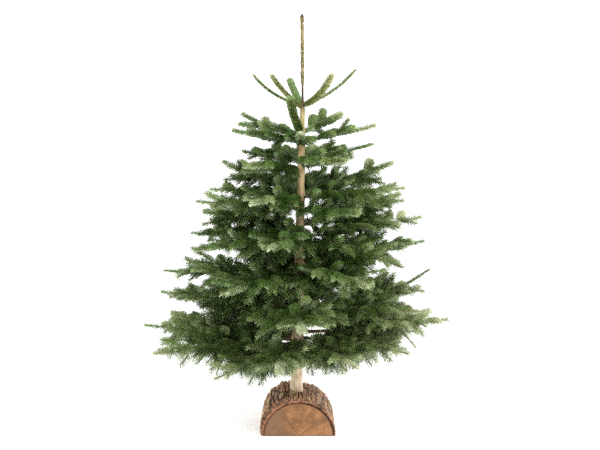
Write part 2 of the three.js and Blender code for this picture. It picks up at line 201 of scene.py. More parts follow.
def normalised(vectors: np.ndarray) -> np.ndarray:
    """Vectors along the last axis, made unit length."""
    return vectors / np.maximum(np.linalg.norm(vectors, axis=-1, keepdims=True), 1e-12)


def upright_on(direction: np.ndarray, hint: np.ndarray) -> np.ndarray:
    """The part of a hint that stands square on each direction, as unit vectors.

    Args:
        direction: unit vectors.
        hint: the wanted upright for each, or one for all.

    Returns:
        Unit vectors square on direction. Where both nearly agree, a fixed forward hint is used.
    """
    agreement = np.sum(direction * hint, axis=-1, keepdims=True)
    usable = np.where(np.abs(agreement) > NEARLY_PARALLEL, normalised(SPARE_HINT), hint)
    agreement = np.sum(direction * usable, axis=-1, keepdims=True)
    return normalised(usable - direction * agreement)


def tube_frame(direction: np.ndarray, hint: np.ndarray) -> tuple[np.ndarray, np.ndarray]:
    """Unit vectors across and up, so that across x up points along the direction."""
    up = upright_on(direction, hint)
    return np.cross(up, direction), up


def curve_point(
    start: np.ndarray, leave: np.ndarray, arrive: np.ndarray, length: np.ndarray | float,
    share: np.ndarray | float,
) -> np.ndarray:
    """Point on a curve: p(t) = (1 - t)^2 * start + 2 t (1 - t) * bend + t^2 * end.

    Args:
        start: where the curve starts.
        leave: unit direction of its first half, from start to bend.
        arrive: unit direction of its second half, from bend to end.
        length: length of both halves together.
        share: t, from 0 to 1.

    Returns:
        The point, or an array of points where the others are arrays.
    """
    bend = start + leave * length / 2.0
    end = bend + arrive * length / 2.0
    return (1.0 - share) ** 2 * start + 2.0 * share * (1.0 - share) * bend + share ** 2 * end


def grid_quads(index: np.ndarray) -> np.ndarray:
    """Quads between neighbouring rows and columns of a grid of vertex indices."""
    corners = [index[:-1, :-1], index[1:, :-1], index[1:, 1:], index[:-1, 1:]]
    return np.stack(corners, axis=-1).reshape(-1, 4)


def make_mesh_piece(
    name: str,
    vertices: np.ndarray,
    faces: Sequence[np.ndarray],
    materials: Sequence[bpy.types.Material],
    face_materials: np.ndarray | None = None,
    smooth: bool = True,
) -> bpy.types.Object:
    """Make one object from whole arrays.

    Args:
        name: the object's name.
        vertices: positions, one row each.
        faces: arrays of vertex indices, one array for each face size.
        materials: the object's material slots.
        face_materials: slot of each face in the order of faces, or None for the first slot.
        smooth: whether faces are shaded smooth.

    Returns:
        The linked object.
    """
    sizes = np.concatenate([np.full(len(block), block.shape[1], np.int32) for block in faces])
    corners = np.concatenate([block.ravel() for block in faces]).astype(np.int32)
    mesh = bpy.data.meshes.new(name)
    mesh.vertices.add(len(vertices))
    mesh.vertices.foreach_set("co", np.ascontiguousarray(vertices, np.float32).ravel())
    mesh.loops.add(len(corners))
    mesh.loops.foreach_set("vertex_index", corners)
    mesh.polygons.add(len(sizes))
    mesh.polygons.foreach_set("loop_start", np.concatenate([[0], np.cumsum(sizes)[:-1]]).astype(np.int32))
    mesh.polygons.foreach_set("loop_total", sizes)
    mesh.polygons.foreach_set("use_smooth", np.full(len(sizes), smooth))
    for material in materials:
        mesh.materials.append(material)
    if face_materials is not None:
        mesh.polygons.foreach_set("material_index", face_materials.astype(np.int32))
    mesh.update(calc_edges=True)
    piece = bpy.data.objects.new(name, mesh)
    bpy.context.scene.collection.objects.link(piece)
    return piece


def dress(piece: bpy.types.Object, slot: str, *nodes: str) -> bpy.types.Object:
    """Put a piece on the tree's body, and hide the CAD nodes that it replaces.

    Args:
        piece: the piece.
        slot: the material slot's name; not used.
        nodes: names of the CAD nodes that it takes the place of, if any.

    Returns:
        The same piece.
    """
    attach(piece, BODY)
    if nodes:
        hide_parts(*nodes)
    return piece


def tube_surfaces(
    centres: np.ndarray, across: np.ndarray, up: np.ndarray, radii: np.ndarray, sides: int,
) -> tuple[np.ndarray, list[np.ndarray]]:
    """Many closed tubes at once: p = centre + radius * (cos(a) * across + sin(a) * up).

    Args:
        centres: tube by ring by 3, the points along each tube.
        across: unit vectors, like centres, or one for all rings or tubes.
        up: unit vectors, like across, so that across x up points along the tube.
        radii: tube by ring, or tube by ring by side.
        sides: how many sides each tube has.

    Returns:
        The vertices, and the faces as quads of the walls and triangles of the two closed ends.
    """
    tubes, rings = centres.shape[:2]
    angle = np.arange(sides) / sides * FULL_CIRCLE
    spoke = (
        np.cos(angle)[None, None, :, None] * across[:, :, None, :]
        + np.sin(angle)[None, None, :, None] * up[:, :, None, :]
    )
    reach = radii if radii.ndim == 3 else radii[:, :, None]
    wall = centres[:, :, None, :] + reach[..., None] * spoke
    vertices = np.concatenate([wall.reshape(tubes, -1, 3), centres[:, [0, -1], :]], axis=1)
    per_tube = rings * sides + 2
    ring, side = np.meshgrid(np.arange(rings - 1), np.arange(sides), indexing="ij")
    onward = (side + 1) % sides
    quads = np.stack(
        [ring * sides + side, ring * sides + onward, (ring + 1) * sides + onward, (ring + 1) * sides + side],
        axis=-1,
    ).reshape(-1, 4)
    around = np.arange(sides)
    following = (around + 1) % sides
    last = (rings - 1) * sides
    root_fan = np.stack([np.full(sides, per_tube - 2), following, around], axis=-1)
    tip_fan = np.stack([np.full(sides, per_tube - 1), last + around, last + following], axis=-1)
    fans = np.concatenate([root_fan, tip_fan])
    first = (np.arange(tubes) * per_tube)[:, None, None]
    faces = [(quads[None] + first).reshape(-1, 4), (fans[None] + first).reshape(-1, 3)]
    return vertices.reshape(-1, 3), faces


def slab_surface(outer: np.ndarray, inner: np.ndarray) -> tuple[np.ndarray, list[np.ndarray]]:
    """A closed slab between two grids of the same shape, with its four rims stitched.

    Args:
        outer: row by column by 3, whose rows x columns direction faces outwards.
        inner: the grid below it.

    Returns:
        The vertices and the faces.
    """
    rows, columns = outer.shape[:2]
    count = rows * columns
    index = np.arange(count).reshape(rows, columns)
    top = grid_quads(index)
    bottom = top[:, ::-1] + count
    loop = np.concatenate([index[0, :-1], index[:-1, -1], index[-1, :0:-1], index[:0:-1, 0]])
    onward = np.roll(loop, -1)
    rim = np.stack([loop, onward, onward + count, loop + count], axis=-1)
    return np.concatenate([outer.reshape(-1, 3), inner.reshape(-1, 3)]), [np.concatenate([top, bottom, rim])]


# Finishes

def srgb(red: float, green: float, blue: float) -> tuple[float, float, float, float]:
    """Linear colour for a display colour, by the usual display curve.

    Args:
        red: from 0 to 255, like the other two.
        green: the second channel.
        blue: the third channel.

    Returns:
        The three channels from 0 to 1, and a full alpha.
    """
    def linear(value: float) -> float:
        """One channel of it."""
        share = value / 255.0
        return share / 12.92 if share <= 0.04045 else ((share + 0.055) / 1.055) ** 2.4
    return (linear(red), linear(green), linear(blue), 1.0)


class Sketch:
    """A material's node tree under construction, with one method for each kind of node used."""

    def __init__(self, name: str, roughness: float) -> None:
        """Start a material with a Principled shader.

        Args:
            name: the material's name.
            roughness: the shader's roughness.
        """
        self.material = bpy.data.materials.new(name)
        self.material.use_nodes = True
        self.nodes = self.material.node_tree.nodes
        self.links = self.material.node_tree.links
        self.shader = self.nodes["Principled BSDF"]
        self.shader.inputs["Roughness"].default_value = roughness

    def _fill(self, socket: Socket, value: object) -> None:
        """Link a socket to another node's output, or set its number or colour.

        Args:
            socket: the input.
            value: an output, or a plain value.
        """
        if isinstance(value, Socket):
            self.links.new(value, socket)
        else:
            socket.default_value = value

    def node(self, kind: str, output: str | int, values: dict, **settings: object) -> Socket:
        """Add one node.

        Args:
            kind: the node's type after the word that all of them start with.
            output: name or place of the output that is wanted.
            values: what goes into its inputs, by name or place.
            settings: the node's own settings.

        Returns:
            That output.
        """
        node = self.nodes.new("ShaderNode" + kind)
        for name, setting in settings.items():
            setattr(node, name, setting)
        for name, value in values.items():
            self._fill(node.inputs[name], value)
        return node.outputs[output]

    def place(self, scale: Triple = (1.0, 1.0, 1.0)) -> Socket:
        """Object coordinates, scaled."""
        coordinate = self.node("TexCoord", "Object", {})
        return self.node("Mapping", "Vector", {"Vector": coordinate, "Scale": scale})

    def noise(self, vector: Socket, scale: float, detail: float = 3.0, roughness: float = 0.55) -> Socket:
        """Noise from 0 to 1."""
        values = {"Vector": vector, "Scale": scale, "Detail": detail, "Roughness": roughness}
        return self.node("TexNoise", "Fac", values)

    def cells(self, vector: Socket, scale: float) -> Socket:
        """Distance to the edge of a cell pattern."""
        values = {"Vector": vector, "Scale": scale}
        return self.node("TexVoronoi", "Distance", values, feature="DISTANCE_TO_EDGE")

    def compute(self, operation: str, *values: object) -> Socket:
        """One step of arithmetic."""
        return self.node("Math", "Value", dict(enumerate(values)), operation=operation)

    def plus(self, first: object, second: object) -> Socket:
        """The sum of two numbers."""
        return self.compute("ADD", first, second)

    def times(self, first: object, second: object) -> Socket:
        """The product of two numbers."""
        return self.compute("MULTIPLY", first, second)

    def length(self, vector: Socket) -> Socket:
        """The length of a vector."""
        return self.node("VectorMath", "Value", {0: vector}, operation="LENGTH")

    def axis(self, vector: Socket, name: str) -> Socket:
        """One coordinate of a vector, named X, Y or Z."""
        return self.node("SeparateXYZ", name, {"Vector": vector})

    def ramp(self, factor: object, *stops: tuple[float, Tint]) -> Socket:
        """Tint by position between stops of (position, tint).

        Args:
            factor: the position, from 0 to 1.
            stops: positions in rising order, each with a display colour from 0 to 255.

        Returns:
            The tint.
        """
        output = self.node("ValToRGB", "Color", {"Fac": factor})
        elements = output.node.color_ramp.elements
        while len(elements) < len(stops):
            elements.new(0.5)
        for element, (position, tint) in zip(elements, stops):
            element.position = position
            element.color = srgb(*tint)
        return output

    def share(self, factor: object, start: Pair, end: Pair) -> Socket:
        """A share that goes straight from one (position, share) to another, and stays level outside.

        Args:
            factor: the position, from 0 to 1.
            start: position and share where the change starts.
            end: position and share where it ends.

        Returns:
            The share.
        """
        output = self.node("ValToRGB", "Color", {"Fac": factor})
        for element, (position, share) in zip(output.node.color_ramp.elements, (start, end)):
            element.position = position
            element.color = (share, share, share, 1.0)
        return output

    def mix(self, factor: object, first: Socket, second: Socket | Tint, blend: str = "MIX") -> Socket:
        """A colour mixed by a factor with a second one or a tint. A colour mix takes them at 0, 6 and 7."""
        colour = second if isinstance(second, Socket) else srgb(*second)
        return self.node("Mix", 2, {0: factor, 6: first, 7: colour}, data_type="RGBA", blend_type=blend)

    def colour(self, value: object) -> None:
        """Set or link the shader's base colour."""
        self._fill(self.shader.inputs["Base Color"], value)

    def bump(self, height: Socket, distance: float, strength: float) -> None:
        """Raise the shading by a height from 0 to 1, over a distance in metres."""
        values = {"Height": height, "Distance": distance, "Strength": strength}
        self._fill(self.shader.inputs["Normal"], self.node("Bump", "Normal", values))


@dataclass(frozen=True)
class PlainFinish:
    """One even colour, for pieces whose variety comes from many slots."""

    name: str
    colour: Tint
    roughness: float = 0.5
    specular: float = 0.5

    def material(self) -> bpy.types.Material:
        """Make the material.

        Returns:
            The material.
        """
        sketch = Sketch(self.name, self.roughness)
        sketch.colour(srgb(*self.colour))
        sketch.shader.inputs["Specular IOR Level"].default_value = self.specular
        return sketch.material


class Slot(IntEnum):
    """Material slots of a piece of needles. The upper greens and undersides take several each."""

    UPPER = 0
    UPPER_DARK = 1
    UNDER = 7
    SILVERY = 9
    LEADER = 10
    LEADER_DARK = 11
    YELLOWED = 12


@dataclass(frozen=True)
class NeedleFinish:
    """Greens of the needles' upper faces and silvery greens of their undersides, dark to light."""

    upper: tuple[Tint, ...] = (
        (45, 63, 27), (60, 84, 36), (78, 108, 48), (102, 132, 66), (128, 150, 90), (154, 170, 116),
        (182, 190, 146),
    )
    under: tuple[Tint, ...] = ((88, 108, 66), (136, 154, 108), (190, 200, 166))
    leader: Tint = (162, 144, 92)
    leader_dark: Tint = (98, 84, 48)
    yellowed: Tint = (198, 190, 132)
    roughness: float = 0.42
    specular: float = 0.45

    def materials(self) -> list[bpy.types.Material]:
        """Make the materials.

        Returns:
            One for each slot, in the order of Slot.
        """
        named = [(f"upper_{place}", tint) for place, tint in enumerate(self.upper)]
        named += [(f"under_{place}", tint) for place, tint in enumerate(self.under)]
        named += [("leader", self.leader), ("leader_dark", self.leader_dark), ("yellowed", self.yellowed)]
        return [
            PlainFinish(f"needle_{name}", tint, self.roughness, self.specular).material()
            for name, tint in named
        ]


@dataclass(frozen=True)
class StemBarkFinish:
    """Thin smooth bark of the trunk: pale at the foot, tan in the middle and yellow-green on top, all lighter
    than the bark itself as painted light against the crown's shade.
    """

    height: float = 1.470
    # painted light: the tints and the blotches are lighter than the bark's own colour, to make up for the
    # shade of the crown
    tints: tuple[tuple[float, Tint], ...] = (
        (0.09, (250, 230, 204)), (0.20, (232, 208, 168)), (0.36, (214, 186, 146)),
        (0.68, (208, 182, 134)), (0.765, (176, 166, 110)), (0.79, (78, 60, 36)),
    )
    blotches: tuple[tuple[float, Tint], ...] = ((0.30, (176, 158, 134)), (0.58, (255, 255, 255)))
    speck: Tint = (120, 96, 70)
    roughness: float = 0.72

    def material(self) -> bpy.types.Material:
        """Colour by share of the height, broken up by blotches, darker specks and fine cross lines.

        Returns:
            The material.
        """
        sketch = Sketch("stem_bark", self.roughness)
        place = sketch.place()
        base = sketch.ramp(sketch.compute("DIVIDE", sketch.axis(place, "Z"), self.height), *self.tints)
        blotch = sketch.noise(sketch.place((1.0, 1.0, 0.35)), scale=55.0, detail=4.0, roughness=0.6)
        blotched = sketch.mix(1.0, base, sketch.ramp(blotch, *self.blotches), "MULTIPLY")
        specks = sketch.noise(place, scale=260.0, detail=2.0, roughness=0.6)
        sketch.colour(sketch.mix(sketch.share(specks, (0.64, 0.0), (0.76, 0.2)), blotched, self.speck))
        lines = sketch.noise(sketch.place((1.0, 1.0, 3.0)), scale=70.0, detail=2.0, roughness=0.5)
        sketch.bump(sketch.plus(lines, sketch.times(specks, 0.3)), distance=0.0003, strength=0.5)
        return sketch.material


@dataclass(frozen=True)
class TwigBarkFinish:
    """Bark of boughs or twigs: two browns in blotches."""

    name: str
    dark: Tint
    light: Tint
    grain: float
    roughness: float = 0.75

    def material(self) -> bpy.types.Material:
        """Blotches and a bump five times as fine.

        Returns:
            The material.
        """
        sketch = Sketch(self.name, self.roughness)
        place = sketch.place()
        blotch = sketch.noise(place, self.grain, detail=4.0, roughness=0.6)
        sketch.colour(sketch.ramp(blotch, (0.35, self.dark), (0.65, self.light)))
        sketch.bump(sketch.noise(place, self.grain * 5.0, detail=2.0), distance=0.0006, strength=0.6)
        return sketch.material


@dataclass(frozen=True)
class EndGrainFinish:
    """Sawn wood of the log: faint rings about the pith, drying wedges, stains, a dark rim and painted shadow
    along the bottom edge.
    """

    half_width: float
    height: float
    ring_pitch: float = 0.0125
    ring_wobble: float = 0.014
    ring_share: float = 0.45
    light: Tint = (166, 116, 76)
    dark: Tint = (124, 84, 50)
    wedge: Tint = (100, 68, 38)
    grey: Tint = (118, 90, 66)
    rim: Tint = (96, 60, 40)
    # painted shadow at the bottom edge, where the log meets the floor
    floor_edge: Tint = (64, 42, 32)
    roughness: float = 0.78

    def material(self) -> bpy.types.Material:
        """Broad stains first, then rings, wedges, the greyed corner, the dark rim and the painted shadow at
        the bottom edge over them.

        A ring's darkness is (0.5 + 0.5 sin(distance from the pith / pitch))^3.

        Returns:
            The material.
        """
        sketch = Sketch("log_end_grain", self.roughness)
        squash = self.half_width / self.height
        place = sketch.place((1.0, 0.25, squash))
        from_pith = sketch.length(sketch.place((1.0, 0.0, squash)))
        wobble = sketch.times(sketch.noise(place, scale=22.0, detail=3.0, roughness=0.5), self.ring_wobble)
        stain = sketch.noise(place, scale=24.0, detail=4.0, roughness=0.6)
        stained = sketch.ramp(stain, (0.36, self.dark), (0.60, self.light))
        phase = sketch.times(sketch.plus(from_pith, wobble), FULL_CIRCLE / self.ring_pitch)
        wave = sketch.compute("MULTIPLY_ADD", sketch.compute("SINE", phase), 0.5, 0.5)
        ring = sketch.compute("POWER", wave, 3.0)
        ringed = sketch.mix(sketch.times(ring, sketch.times(stain, self.ring_share)), stained, self.wedge)
        rim = sketch.share(sketch.compute("DIVIDE", from_pith, self.half_width), (0.955, 0.0), (0.995, 0.75))
        sketch.colour(sketch.mix(rim, self._weathered(sketch, place, ringed), self.rim))
        saw_marks = sketch.noise(sketch.place((40.0, 1.0, 160.0)), scale=1.0, detail=2.0)
        sketch.bump(sketch.plus(sketch.times(ring, 0.5), saw_marks), distance=0.0003, strength=0.4)
        return sketch.material

    def _weathered(self, sketch: Sketch, place: Socket, wood: Socket) -> Socket:
        """Wood in drying wedges from the pith, greyed towards the lower left, with painted shadow along the
        bottom edge where the log meets the floor.

        Args:
            sketch: the material under construction.
            place: squashed coordinates, in which the log is round.
            wood: colour of the ringed wood.

        Returns:
            The colour over it.
        """
        straight = sketch.place()
        across = sketch.axis(straight, "X")
        up = sketch.axis(straight, "Z")
        spoke = sketch.node("CombineXYZ", "Vector", {"X": sketch.compute("ARCTAN2", up, across)})
        bearing = sketch.noise(spoke, scale=2.6, detail=2.0, roughness=0.6)
        wedged = sketch.mix(sketch.share(bearing, (0.48, 0.0), (0.62, 0.55)), wood, self.wedge)
        leftness = sketch.plus(sketch.times(across, -9.0), sketch.times(up, -3.0))
        blotched = sketch.plus(leftness, sketch.noise(place, scale=30.0, detail=4.0, roughness=0.6))
        greyed = sketch.mix(sketch.share(blotched, (0.55, 0.0), (0.95, 0.7)), wedged, self.grey)
        # painted shadow: darkest over the lowest few millimetres of the face, where the log meets the floor
        edge = sketch.share(sketch.times(up, 100.0), (0.15, 0.75), (0.45, 0.0))
        return sketch.mix(edge, greyed, self.floor_edge)


class BarkSlot(IntEnum):
    """Material slots of the log's bark."""

    FURROW = 0
    BROWN = 1
    PALE = 2
    RED = 3
    GREY = 4
    LAYERS = 5


@dataclass(frozen=True)
class LogBarkFinish:
    """Furrowed bark of the log: a tint for each slot of plates, and the layers seen at the ends."""

    half_width: float
    height: float
    cambium: float = 0.0026
    cambium_right: float = 0.0034
    inner_bark: float = 0.0092
    layer_wander: float = 0.0040
    orange: Tint = (178, 118, 72)
    cambium_tint: Tint = (62, 38, 26)
    roughness: float = 0.9
    tints: tuple[tuple[Tint, Tint], ...] = (
        ((66, 46, 34), (116, 84, 62)),
        ((134, 98, 70), (204, 158, 116)),
        ((172, 134, 98), (236, 198, 156)),
        ((126, 88, 68), (184, 138, 108)),
        ((108, 88, 70), (168, 140, 114)),
        ((74, 50, 38), (172, 126, 94)),
    )

    def materials(self) -> list[bpy.types.Material]:
        """One material for each slot, the layered one last."""
        return [self._plates(slot) for slot in BarkSlot]

    def _plates(self, slot: BarkSlot) -> bpy.types.Material:
        """Streaks along the log between the slot's two tints, with flakes in the bump.

        Args:
            slot: which plates.

        Returns:
            The material.
        """
        sketch = Sketch(f"log_bark_{slot.name.lower()}", self.roughness)
        dark, light = self.tints[slot]
        streaks = sketch.noise(sketch.place((1.0, 0.22, 1.0)), scale=75.0, detail=3.0, roughness=0.6)
        colour = sketch.ramp(streaks, (0.36, dark), (0.60, light))
        if slot == BarkSlot.LAYERS:
            cracks = sketch.cells(sketch.place((1.0, 0.3, 1.0)), scale=70.0)
            cracked = sketch.mix(sketch.share(cracks, (0.04, 0.8), (0.16, 0.0)), colour, dark)
            colour = self._layered(sketch, cracked)
        sketch.colour(colour)
        flakes = sketch.noise(sketch.place((1.0, 0.35, 1.0)), scale=110.0, detail=3.0)
        sketch.bump(sketch.plus(flakes, streaks), distance=0.0008, strength=0.5)
        return sketch.material

    def _layered(self, sketch: Sketch, plates: Socket) -> Socket:
        """Dark cambium next to the wood, thick on the right, and orange inner bark over it on the left.

        Args:
            sketch: the material under construction.
            plates: colour of the bark farther out.

        Returns:
            The colour with the layers, each where the depth from the wood is under its thickness.
        """
        place = sketch.place()
        from_pith = sketch.length(sketch.place((1.0, 0.0, self.half_width / self.height)))
        from_wood = sketch.compute("SUBTRACT", from_pith, self.half_width)
        wave = sketch.noise(place, scale=60.0, detail=2.0)
        wander = sketch.compute("MULTIPLY_ADD", wave, self.layer_wander, -self.layer_wander / 2.0)
        depth = sketch.compute("SUBTRACT", from_wood, wander)
        across = sketch.compute("DIVIDE", sketch.axis(place, "X"), self.half_width)
        rightness = sketch.share(across, (0.05, 0.0), (0.60, 1.0))
        dark_to = sketch.compute("MULTIPLY_ADD", rightness, self.cambium_right, self.cambium)
        inner = sketch.compute("GREATER_THAN", self.inner_bark, depth)
        patches = sketch.share(sketch.noise(place, scale=34.0, detail=2.0), (0.36, 0.1), (0.56, 0.8))
        leftness = sketch.compute("MULTIPLY_ADD", rightness, -0.8, 1.0)
        warm = sketch.mix(sketch.times(inner, sketch.times(leftness, patches)), plates, self.orange)
        return sketch.mix(sketch.compute("GREATER_THAN", dark_to, depth), warm, self.cambium_tint)


# Growth of the tree

@dataclass(frozen=True)
class Bough:
    """One bough's height on the trunk, azimuth, reach, rise at both ends and where a bare end begins."""

    height: float
    azimuth: float
    reach: float
    rise_at_trunk: float
    rise_at_tip: float
    slim_from: float = 1.0


@dataclass(frozen=True)
class Whorl:
    """Boughs of one year: seasons grown, thickness at the trunk and the share without needles.

    Where limbs is true, the frame has the bare part of each bough as a node of its own.
    """

    name: str
    years: int
    stem: float
    bare: float
    limbs: bool
    boughs: tuple[Bough, ...]

    def nearest_gap(self, azimuth: float) -> float:
        """Angle in degrees from one bough's azimuth to that of its nearest neighbour."""
        others = [bough.azimuth for bough in self.boughs if bough.azimuth != azimuth]
        return min(abs((azimuth - other + HALF_TURN) % 360.0 - HALF_TURN) for other in others)


WHORLS = (
    Whorl("w1", 1, 0.0024, 0.00, False, (
        Bough(1.155, 22, 0.243, 16, 47), Bough(1.155, 312, 0.190, 4, 56), Bough(1.155, 158, 0.220, 13, 46),
        Bough(1.142, 227, 0.178, 27, 40), Bough(1.148, 116, 0.143, 36, 52),
        Bough(1.052, 249, 0.155, 42, 48),
    )),
    Whorl("w2", 2, 0.0032, 0.05, False, (
        Bough(1.030, 350, 0.258, 10, 12), Bough(1.058, 46, 0.218, 18, 22), Bough(1.026, 186, 0.240, 9, 9),
        Bough(1.048, 148, 0.268, 12, 8), Bough(1.016, 268, 0.130, 6, 20),
    )),
    Whorl("w3", 3, 0.0040, 0.06, False, (
        Bough(0.958, 10, 0.262, 12, 14, 0.66), Bough(0.963, 168, 0.212, 6, 10), Bough(0.928, 232, 0.270, 6, 0),
        Bough(0.938, 306, 0.245, 8, 0), Bough(0.948, 92, 0.260, 10, 14),
    )),
    Whorl("w4", 4, 0.0052, 0.08, False, (
        Bough(0.850, 152, 0.340, 12, 24), Bough(0.789, 204, 0.380, 5, 5), Bough(0.842, 24, 0.390, 12, 21),
        Bough(0.830, 340, 0.378, 5, 6), Bough(0.814, 243, 0.340, 6, -4), Bough(0.780, 302, 0.335, 4, -2),
        Bough(0.826, 90, 0.340, 10, 11), Bough(0.820, 177, 0.320, 9, 5),
    )),
    Whorl("w5", 5, 0.0058, 0.10, False, (
        Bough(0.688, 176, 0.385, 1, 3), Bough(0.688, 4, 0.440, 8, 10), Bough(0.655, 322, 0.425, 2, -13),
        Bough(0.676, 216, 0.420, 0, -2), Bough(0.730, 34, 0.480, 9, 16), Bough(0.722, 150, 0.424, 7, 6),
        Bough(0.694, 256, 0.370, 0, -4),
    )),
    Whorl("w6", 6, 0.0062, 0.14, False, (
        Bough(0.590, 2, 0.455, 9, 12), Bough(0.546, 194, 0.470, 5, 4, 0.84), Bough(0.578, 300, 0.420, 2, -6),
        Bough(0.552, 240, 0.430, 2, -4), Bough(0.566, 100, 0.460, 8, 9),
    )),
    Whorl("w7", 7, 0.0070, 0.15, False, (
        Bough(0.420, 165, 0.530, 3, 8), Bough(0.380, 17, 0.560, 4, 32, 0.76), Bough(0.448, 272, 0.430, 1, -5),
        Bough(0.454, 84, 0.430, 8, 9), Bough(0.423, 343, 0.450, 3, 3),
    )),
    Whorl("w8", 8, 0.0075, 0.19, True, (
        Bough(0.320, 180, 0.550, 3, 8), Bough(0.348, 352, 0.530, 4, 9), Bough(0.304, 205, 0.530, 2, 2),
        Bough(0.328, 322, 0.460, 2, 0), Bough(0.328, 122, 0.490, 4, 10), Bough(0.324, 262, 0.390, 0, -8),
        Bough(0.320, 298, 0.400, 0, -4), Bough(0.282, 231, 0.412, 5, -10),
    )),
)


@dataclass(frozen=True)
class GrowthRule:
    """How side shoots leave a shoot. Angles are in degrees, wanders go either way, levels count from 0.

    A curl is a mean and a wander. The keys give each shoot a number of its own for its chances.
    """

    most_order: int = 3
    shortest: float = 0.044
    shortest_behind: float = 0.030
    length_ratio: Row = (0.0, 0.0, 0.74, 0.66)
    length_wander: float = 0.16
    branch_angle: Row = (0.0, 0.0, 56.0, 50.0)
    angle_wander: float = 9.0
    stem_pair_lift: float = 8.0
    roll_wander: float = 22.0
    top_roll: float = 90.0
    hanging_roll: float = 270.0
    top_share: float = 0.5
    hanging_share: float = 0.55
    top_chance: float = 0.4
    levels_without_top: tuple[int, ...] = (7,)
    levels_without_hanging: tuple[int, ...] = (6,)
    forward_curl: Pair = (0.35, 0.2)
    upward_curl: Pair = (0.10, 0.14)
    front_droop: float = 0.8
    droop_from_level: int = 2
    joint_wander: float = 0.03
    innermost_joint: float = 0.02
    outermost_joint: float = 0.93
    axis_bend: float = 10.0
    first_step_share: float = 0.6
    half_step_share: float = 0.62
    quarter_step_share: float = 0.45
    half_step_key: int = 100
    quarter_step_key: int = 200
    narrowest_half_sector: float = 24.0
    widest_half_sector: float = 40.0
    sector_margin: float = 0.020
    steepest_exit: float = 0.2
    trunk_room: float = 0.030
    bare_behind: float = 0.3
    level_key: int = 101
    bough_key: int = 17
    first_key: int = 5
    parent_key: int = 31
    joint_key: int = 7


@dataclass
class Shoot:
    """One shoot: a curve that leaves in one direction and arrives in another."""

    start: np.ndarray
    leave: np.ndarray
    arrive: np.ndarray
    length: float
    years: int
    order: int
    key: int
    hint: np.ndarray
    whorl: int
    bough: int

    def at(self, share: float) -> np.ndarray:
        """Point along the curve."""
        return curve_point(self.start, self.leave, self.arrive, self.length, share)

    def along(self, share: float) -> np.ndarray:
        """Direction along the curve."""
        return normalised(self.leave * (1.0 - share) + self.arrive * share)


@dataclass(frozen=True)
class TrunkAxis:
    """Axis of the trunk, leaning slightly up to the leader, and its radius by height."""

    foot: Triple = (-0.0098, -0.012, 0.053)
    leader_foot: Triple = (0.0147, -0.0027, 1.152)
    tip: Triple = (0.0123, 0.0, 1.470)
    taper_heights: Row = (
        0.053, 0.128, 0.208, 0.484, 0.698, 0.848, 0.998, 1.095, 1.152, 1.173, 1.308, 1.444,
    )
    taper_radii: Row = (
        0.0254, 0.0248, 0.0208, 0.019, 0.0155, 0.0126, 0.011, 0.0087, 0.0066, 0.0038, 0.0032, 0.0028,
    )
    swell_radius: float = 0.0014
    swell_spread: float = 0.022

    def at(self, height: np.ndarray | float) -> np.ndarray:
        """Point of the axis at a height, on a line from foot to leader and another up to the tip.

        Args:
            height: one height or an array of them.

        Returns:
            One point for each, on a new last axis.
        """
        height = np.asarray(height, float)
        bends = np.array([self.foot, self.leader_foot, self.tip])
        x, y = (np.interp(height, bends[:, 2], bends[:, axis]) for axis in (0, 1))
        return np.stack([x, y, height], axis=-1)

    def radius(self, height: np.ndarray) -> np.ndarray:
        """Radius by height: the taper, and a bell-shaped swelling at the mean height of each whorl.

        Args:
            height: an array of heights.

        Returns:
            One radius for each.
        """
        radius = np.interp(height, self.taper_heights, self.taper_radii)
        for whorl in WHORLS:
            level = np.mean([bough.height for bough in whorl.boughs])
            radius = radius + self.swell_radius * np.exp(-(((height - level) / self.swell_spread) ** 2))
        return radius


